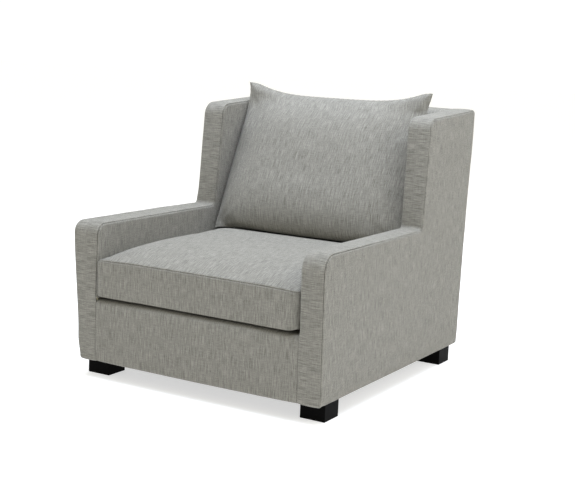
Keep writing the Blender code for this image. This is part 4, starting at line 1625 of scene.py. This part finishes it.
def make_web(number):
    """A strap of woven jute webbing across the open back."""
    node = f"back_web_{number}"
    obj = bpy.data.objects.new(f"back_strap_{number}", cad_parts[node].data.copy())
    bpy.context.scene.collection.objects.link(obj)
    select_only(obj)
    bpy.ops.object.mode_set(mode="EDIT")
    bpy.ops.mesh.select_all(action="SELECT")
    bpy.ops.mesh.remove_doubles(threshold=0.00002)
    bpy.ops.mesh.subdivide(number_cuts=2)
    bpy.ops.mesh.normals_make_consistent(inside=False)
    bpy.ops.object.mode_set(mode="OBJECT")
    layer = obj.data.uv_layers.new(name=UV_NAME) if not obj.data.uv_layers else obj.data.uv_layers[0]
    layer.name = UV_NAME
    for loop in obj.data.loops:
        spot = obj.data.vertices[loop.vertex_index].co
        layer.data[loop.index].uv = (spot.x, spot.z)
    settle(obj, "frame", plain_cloth("jute_web", 0.50, 0.39, 0.24, 0.0022, 0.05), [node])
    return obj


# ---------------------------------------------------------------- zips


SEAT_ZIP_WIDTH = 0.026
BACK_ZIP_WIDTH = 0.0104


def move_mesh(obj, place):
    """Move a mesh inside its object, so that the object stays at the origin."""
    obj.data.transform(obj.matrix_world)
    obj.matrix_world = Matrix.Identity(4)
    obj.data.transform(place)
    obj.data.update()


def block(size, place, bevel):
    """A block added at its size and place, with eased edges."""
    select_none()
    bpy.ops.mesh.primitive_cube_add(size=1.0, location=place)
    obj = bpy.context.object
    obj.scale = size
    bpy.ops.object.transform_apply(location=True, rotation=False, scale=True)
    bpy.ops.object.mode_set(mode="EDIT")
    bpy.ops.mesh.select_all(action="SELECT")
    bpy.ops.mesh.bevel(offset=bevel, segments=2)
    bpy.ops.object.mode_set(mode="OBJECT")
    return obj


def join_blocks(name, blocks):
    """Join blocks into one piece."""
    select_none()
    for part in blocks:
        part.select_set(True)
    bpy.context.view_layer.objects.active = blocks[0]
    bpy.ops.object.join()
    blocks[0].name = name
    return blocks[0]


def zip_places(node, outwards):
    """Matrix of a zip: x along it, z out of the cushion."""
    low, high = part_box(node)
    up = Vector(outwards).normalized()
    along = Vector((1.0, 0.0, 0.0))
    across = up.cross(along)
    axes = Matrix((along, across, up)).transposed().to_4x4()
    return Matrix.Translation((low + high) / 2) @ axes


def make_zip(label, body, slider_body, outwards, width):
    """A zip's woven tape and coil, and the slider with its pull."""
    node = f"{label}_zip"
    low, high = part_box(node)
    length = high.x - low.x
    place = zip_places(node, outwards)
    x, y = np.meshgrid(np.linspace(-length / 2, length / 2, 90), np.linspace(-width / 2, width / 2, 9))
    z = 0.0004 - 0.0006 * (np.abs(y) / (width / 2)) ** 4
    points = np.stack([x, y, z], -1).reshape(-1, 3).tolist()
    tape = mesh_object(f"{label}_zip_tape", points, grid_faces(9, 90), [p[:2] for p in points])
    point_faces_out(tape, Vector((0.0, 0.0, 1.0)))
    thicken(tape, 0.0009)
    move_mesh(tape, place)
    settle(tape, body, plain_cloth("zip_tape", 0.12, 0.115, 0.10, 0.0009, 0.08), [node])
    pitch = 0.0032
    tooth = block((0.0014, min(0.0042, width * 0.5), 0.0009), (0.0, 0.0, 0.0), 0.0003)
    count = int((length - 0.02) / pitch)
    step = tooth.modifiers.new("teeth", "ARRAY")
    step.count = count
    step.use_relative_offset = False
    step.use_constant_offset = True
    step.constant_offset_displace = (pitch, 0.0, 0.0)
    apply_all(tooth)
    tooth.name = f"{label}_zip_teeth"
    tooth.data.transform(Matrix.Translation((-(count - 1) * pitch / 2, 0.0, 0.0008)))
    move_mesh(tooth, place)
    settle(tooth, body, metal("zip_teeth", 0.10, 0.095, 0.085, 0.42), [])
    centre = zip_places(f"{label}_zip_slider", outwards)
    wide = min(width, 0.0078)
    body_block = block((0.0125, wide, 0.0022), (0.0, 0.0, -0.0003), 0.0007)
    bridge = block((0.0070, 0.0016, 0.0011), (0.0, 0.0, 0.0009), 0.0004)
    pull = block((0.0125, min(wide, 0.0050), 0.0007), (-0.0085, 0.0, 0.0011), 0.0003)
    slider = join_blocks(f"{label}_zip_pull", [body_block, bridge, pull])
    move_mesh(slider, centre)
    settle(slider, slider_body, metal("zip_metal", 0.30, 0.28, 0.25, 0.34),
           [f"{label}_zip_slider"])


# ---------------------------------------------------------------- operators


class ARMCHAIR_OT_covers(bpy.types.Operator):
    """Cut and stretch the covers of the fixed frame"""

    bl_idname = "armchair.covers"
    bl_label = "Frame covers"

    def execute(self, context):
        for label, side in SIDES:
            make_strip(label, side)
            make_outside_panel(label, side)
            make_inside_panel(label, side)
        make_front_panel()
        make_inside_back()
        make_outside_back()
        return {"FINISHED"}


class ARMCHAIR_OT_foam(bpy.types.Operator):
    """Cut the foam and the boards under the covers"""

    bl_idname = "armchair.foam"
    bl_label = "Foam and boards"

    def execute(self, context):
        for node in sorted(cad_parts):
            if node.endswith("_pad") and "border" not in node:
                make_foam(node, node[:-4] + "_foam", FOAM_EDGE)
        for label, side in SIDES:
            make_borders(label, side)
            make_board(label, side)
        return {"FINISHED"}


class ARMCHAIR_OT_seat_cushion(bpy.types.Operator):
    """Sew and fill the loose seat cushion"""

    bl_idname = "armchair.seat_cushion"
    bl_label = "Seat cushion"

    def execute(self, context):
        make_seat_cushion()
        return {"FINISHED"}


class ARMCHAIR_OT_back_cushion(bpy.types.Operator):
    """Sew and fill the loose back cushion"""

    bl_idname = "armchair.back_cushion"
    bl_label = "Back cushion"

    def execute(self, context):
        make_back_cushion()
        return {"FINISHED"}


class ARMCHAIR_OT_linings(bpy.types.Operator):
    """Lay the deck cloth, the dust cover and the webs"""

    bl_idname = "armchair.linings"
    bl_label = "Linings and webs"

    def execute(self, context):
        look = context.scene.armchair_cloth
        make_lining("deck_cloth", "deck_cover", 0.0003,
                    plain_cloth("deck_cloth", *look.deck, 0.0008, 0.08))
        make_lining("dust_cloth", "dust_cover", 0.0014,
                    plain_cloth("dust_cloth", *look.lining, 0.0006, 0.03))
        for number in (1, 2):
            make_web(number)
        return {"FINISHED"}


class ARMCHAIR_OT_zips(bpy.types.Operator):
    """Fit the zips of the two loose cushions"""

    bl_idname = "armchair.zips"
    bl_label = "Zips"

    def execute(self, context):
        lean = context.scene.armchair_cushions.pillow_lean
        make_zip("seat", "seat", "seat_slider", (0.0, 1.0, 0.0), SEAT_ZIP_WIDTH)
        make_zip("back", "pillow", "pillow_slider", (0.0, -math.sin(lean), -math.cos(lean)),
                 BACK_ZIP_WIDTH)
        return {"FINISHED"}


class ARMCHAIR_OT_finishes(bpy.types.Operator):
    """Give the timber, boards, feet and springs their finishes"""

    bl_idname = "armchair.finishes"
    bl_label = "Timber and springs"

    def execute(self, context):
        for name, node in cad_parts.items():
            if node.hide_render:
                continue
            low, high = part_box(name)
            span = high - low
            longest = max(range(3), key=lambda i: span[i])
            if name.endswith("board"):
                finish = fibreboard()
            elif "foot" in name:
                finish = foot_lacquer()
            elif "spring" in name:
                finish = metal("spring_steel", 0.42, 0.42, 0.44, 0.36)
            elif "slider" in name:
                finish = metal("zip_metal", 0.30, 0.28, 0.25, 0.34)
            elif name.endswith(("rail", "post", "block", "wing_frame")):
                finish = timber(longest)
            else:
                continue
            node.data.materials.clear()
            node.data.materials.append(finish)
        return {"FINISHED"}


class ARMCHAIR_OT_studio(bpy.types.Operator):
    """Set up the floor, the lights and the camera"""

    bl_idname = "armchair.studio"
    bl_label = "Studio"

    def execute(self, context):
        studio = context.scene.armchair_studio
        make_floor()
        make_sky(studio.sky)
        make_softbox("overhead_light", (0.25, -0.15, 3.3), 3.2, studio.overhead,
                     (0.87, 0.96, 1.15))
        make_softbox("side_light", (3.6, 0.1, 2.5), 2.2, studio.side, (1.0, 0.985, 0.95))
        make_camera(studio)
        return {"FINISHED"}


def make_floor():
    """A pale floor that reaches far beyond the view."""
    select_none()
    bpy.ops.mesh.primitive_plane_add(size=60.0, location=(0.0, 0.0, 0.0))
    floor = bpy.context.object
    floor.name = "studio_floor"
    graph = Graph("pale_floor")
    floor.data.materials.append(graph.finish({
        "Base Color": (0.60, 0.60, 0.60, 1.0),
        "Roughness": 0.85,
        "Specular IOR Level": 0.1,
        "Emission Color": (1.0, 1.0, 1.0, 1.0),
        "Emission Strength": 0.60,
    }))


def make_sky(strength):
    """Soft warm light from all around, in front of a plain white backdrop."""
    world = bpy.data.worlds.new("studio_sky")
    world.use_nodes = True
    nodes, links = world.node_tree.nodes, world.node_tree.links
    glow = nodes["Background"]
    glow.inputs["Color"].default_value = (1.0, 0.985, 0.870, 1.0)
    glow.inputs["Strength"].default_value = strength
    backdrop = nodes.new("ShaderNodeBackground")
    backdrop.inputs["Color"].default_value = (1.0, 1.0, 1.0, 1.0)
    backdrop.inputs["Strength"].default_value = 1.05
    seen = nodes.new("ShaderNodeLightPath")
    either = nodes.new("ShaderNodeMixShader")
    links.new(seen.outputs["Is Camera Ray"], either.inputs[0])
    links.new(glow.outputs[0], either.inputs[1])
    links.new(backdrop.outputs[0], either.inputs[2])
    links.new(either.outputs[0], nodes["World Output"].inputs["Surface"])
    bpy.context.scene.world = world


def make_softbox(name, place, size, power, colour):
    """A square area light aimed at the middle of the chair."""
    light = bpy.data.lights.new(name, "AREA")
    light.energy = power
    light.size = size
    light.color = colour
    box = bpy.data.objects.new(name, light)
    aim = Vector((0.0, 0.0, 0.45)) - Vector(place)
    box.matrix_world = Matrix.Translation(place) @ aim.to_track_quat("-Z", "Y").to_matrix().to_4x4()
    bpy.context.scene.collection.objects.link(box)


def make_camera(studio):
    """A camera that looks across the chair from its front right."""
    turn, pitch, roll = studio.camera_turn, studio.camera_pitch, studio.camera_roll
    ahead = Vector((-math.sin(turn) * math.cos(pitch), math.cos(turn) * math.cos(pitch),
                    -math.sin(pitch)))
    level = Vector((math.cos(turn), math.sin(turn), 0.0))
    above = level.cross(ahead)
    right = level * math.cos(roll) + above * math.sin(roll)
    up = above * math.cos(roll) - level * math.sin(roll)
    axes = Matrix((right, up, -ahead)).transposed().to_4x4()
    camera = bpy.data.objects.new("camera", bpy.data.cameras.new("camera"))
    camera.data.lens = studio.camera_lens
    camera.matrix_world = Matrix.Translation(studio.camera_place) @ axes
    bpy.context.scene.collection.objects.link(camera)
    bpy.context.scene.camera = camera
    bpy.context.scene.view_settings.view_transform = "Standard"


class ARMCHAIR_PT_panel(bpy.types.Panel):
    """Lists what can be made and the values that it is made from"""

    bl_label = "Armchair"
    bl_idname = "ARMCHAIR_PT_panel"
    bl_space_type = "VIEW_3D"
    bl_region_type = "UI"
    bl_category = "Armchair"

    def draw(self, context):
        for operator in OPERATORS:
            self.layout.operator(operator.bl_idname)
        for group in GROUPS:
            settings = getattr(context.scene, group)
            box = self.layout.box()
            box.label(text=group.replace("_", " ").capitalize())
            for name in settings.__annotations__:
                box.prop(settings, name)


OPERATORS = (
    ARMCHAIR_OT_studio,
    ARMCHAIR_OT_foam,
    ARMCHAIR_OT_covers,
    ARMCHAIR_OT_seat_cushion,
    ARMCHAIR_OT_back_cushion,
    ARMCHAIR_OT_linings,
    ARMCHAIR_OT_zips,
    ARMCHAIR_OT_finishes,
)
GROUPS = {
    "armchair_shape": ChairShape,
    "armchair_cushions": CushionShape,
    "armchair_cloth": ClothLook,
    "armchair_hard": HardLook,
    "armchair_studio": StudioLight,
}


def register():
    for made in (*GROUPS.values(), *OPERATORS, ARMCHAIR_PT_panel):
        bpy.utils.register_class(made)
    for name, group in GROUPS.items():
        setattr(bpy.types.Scene, name, bpy.props.PointerProperty(type=group))


def unregister():
    for name in GROUPS:
        delattr(bpy.types.Scene, name)
    for made in (ARMCHAIR_PT_panel, *reversed(OPERATORS), *reversed(GROUPS.values())):
        bpy.utils.unregister_class(made)


def main():
    register()
    bpy.ops.armchair.studio()
    bpy.ops.armchair.foam()
    bpy.ops.armchair.covers()
    bpy.ops.armchair.seat_cushion()
    bpy.ops.armchair.back_cushion()
    bpy.ops.armchair.linings()
    bpy.ops.armchair.zips()
    bpy.ops.armchair.finishes()


if __name__ == "__main__":
    main()
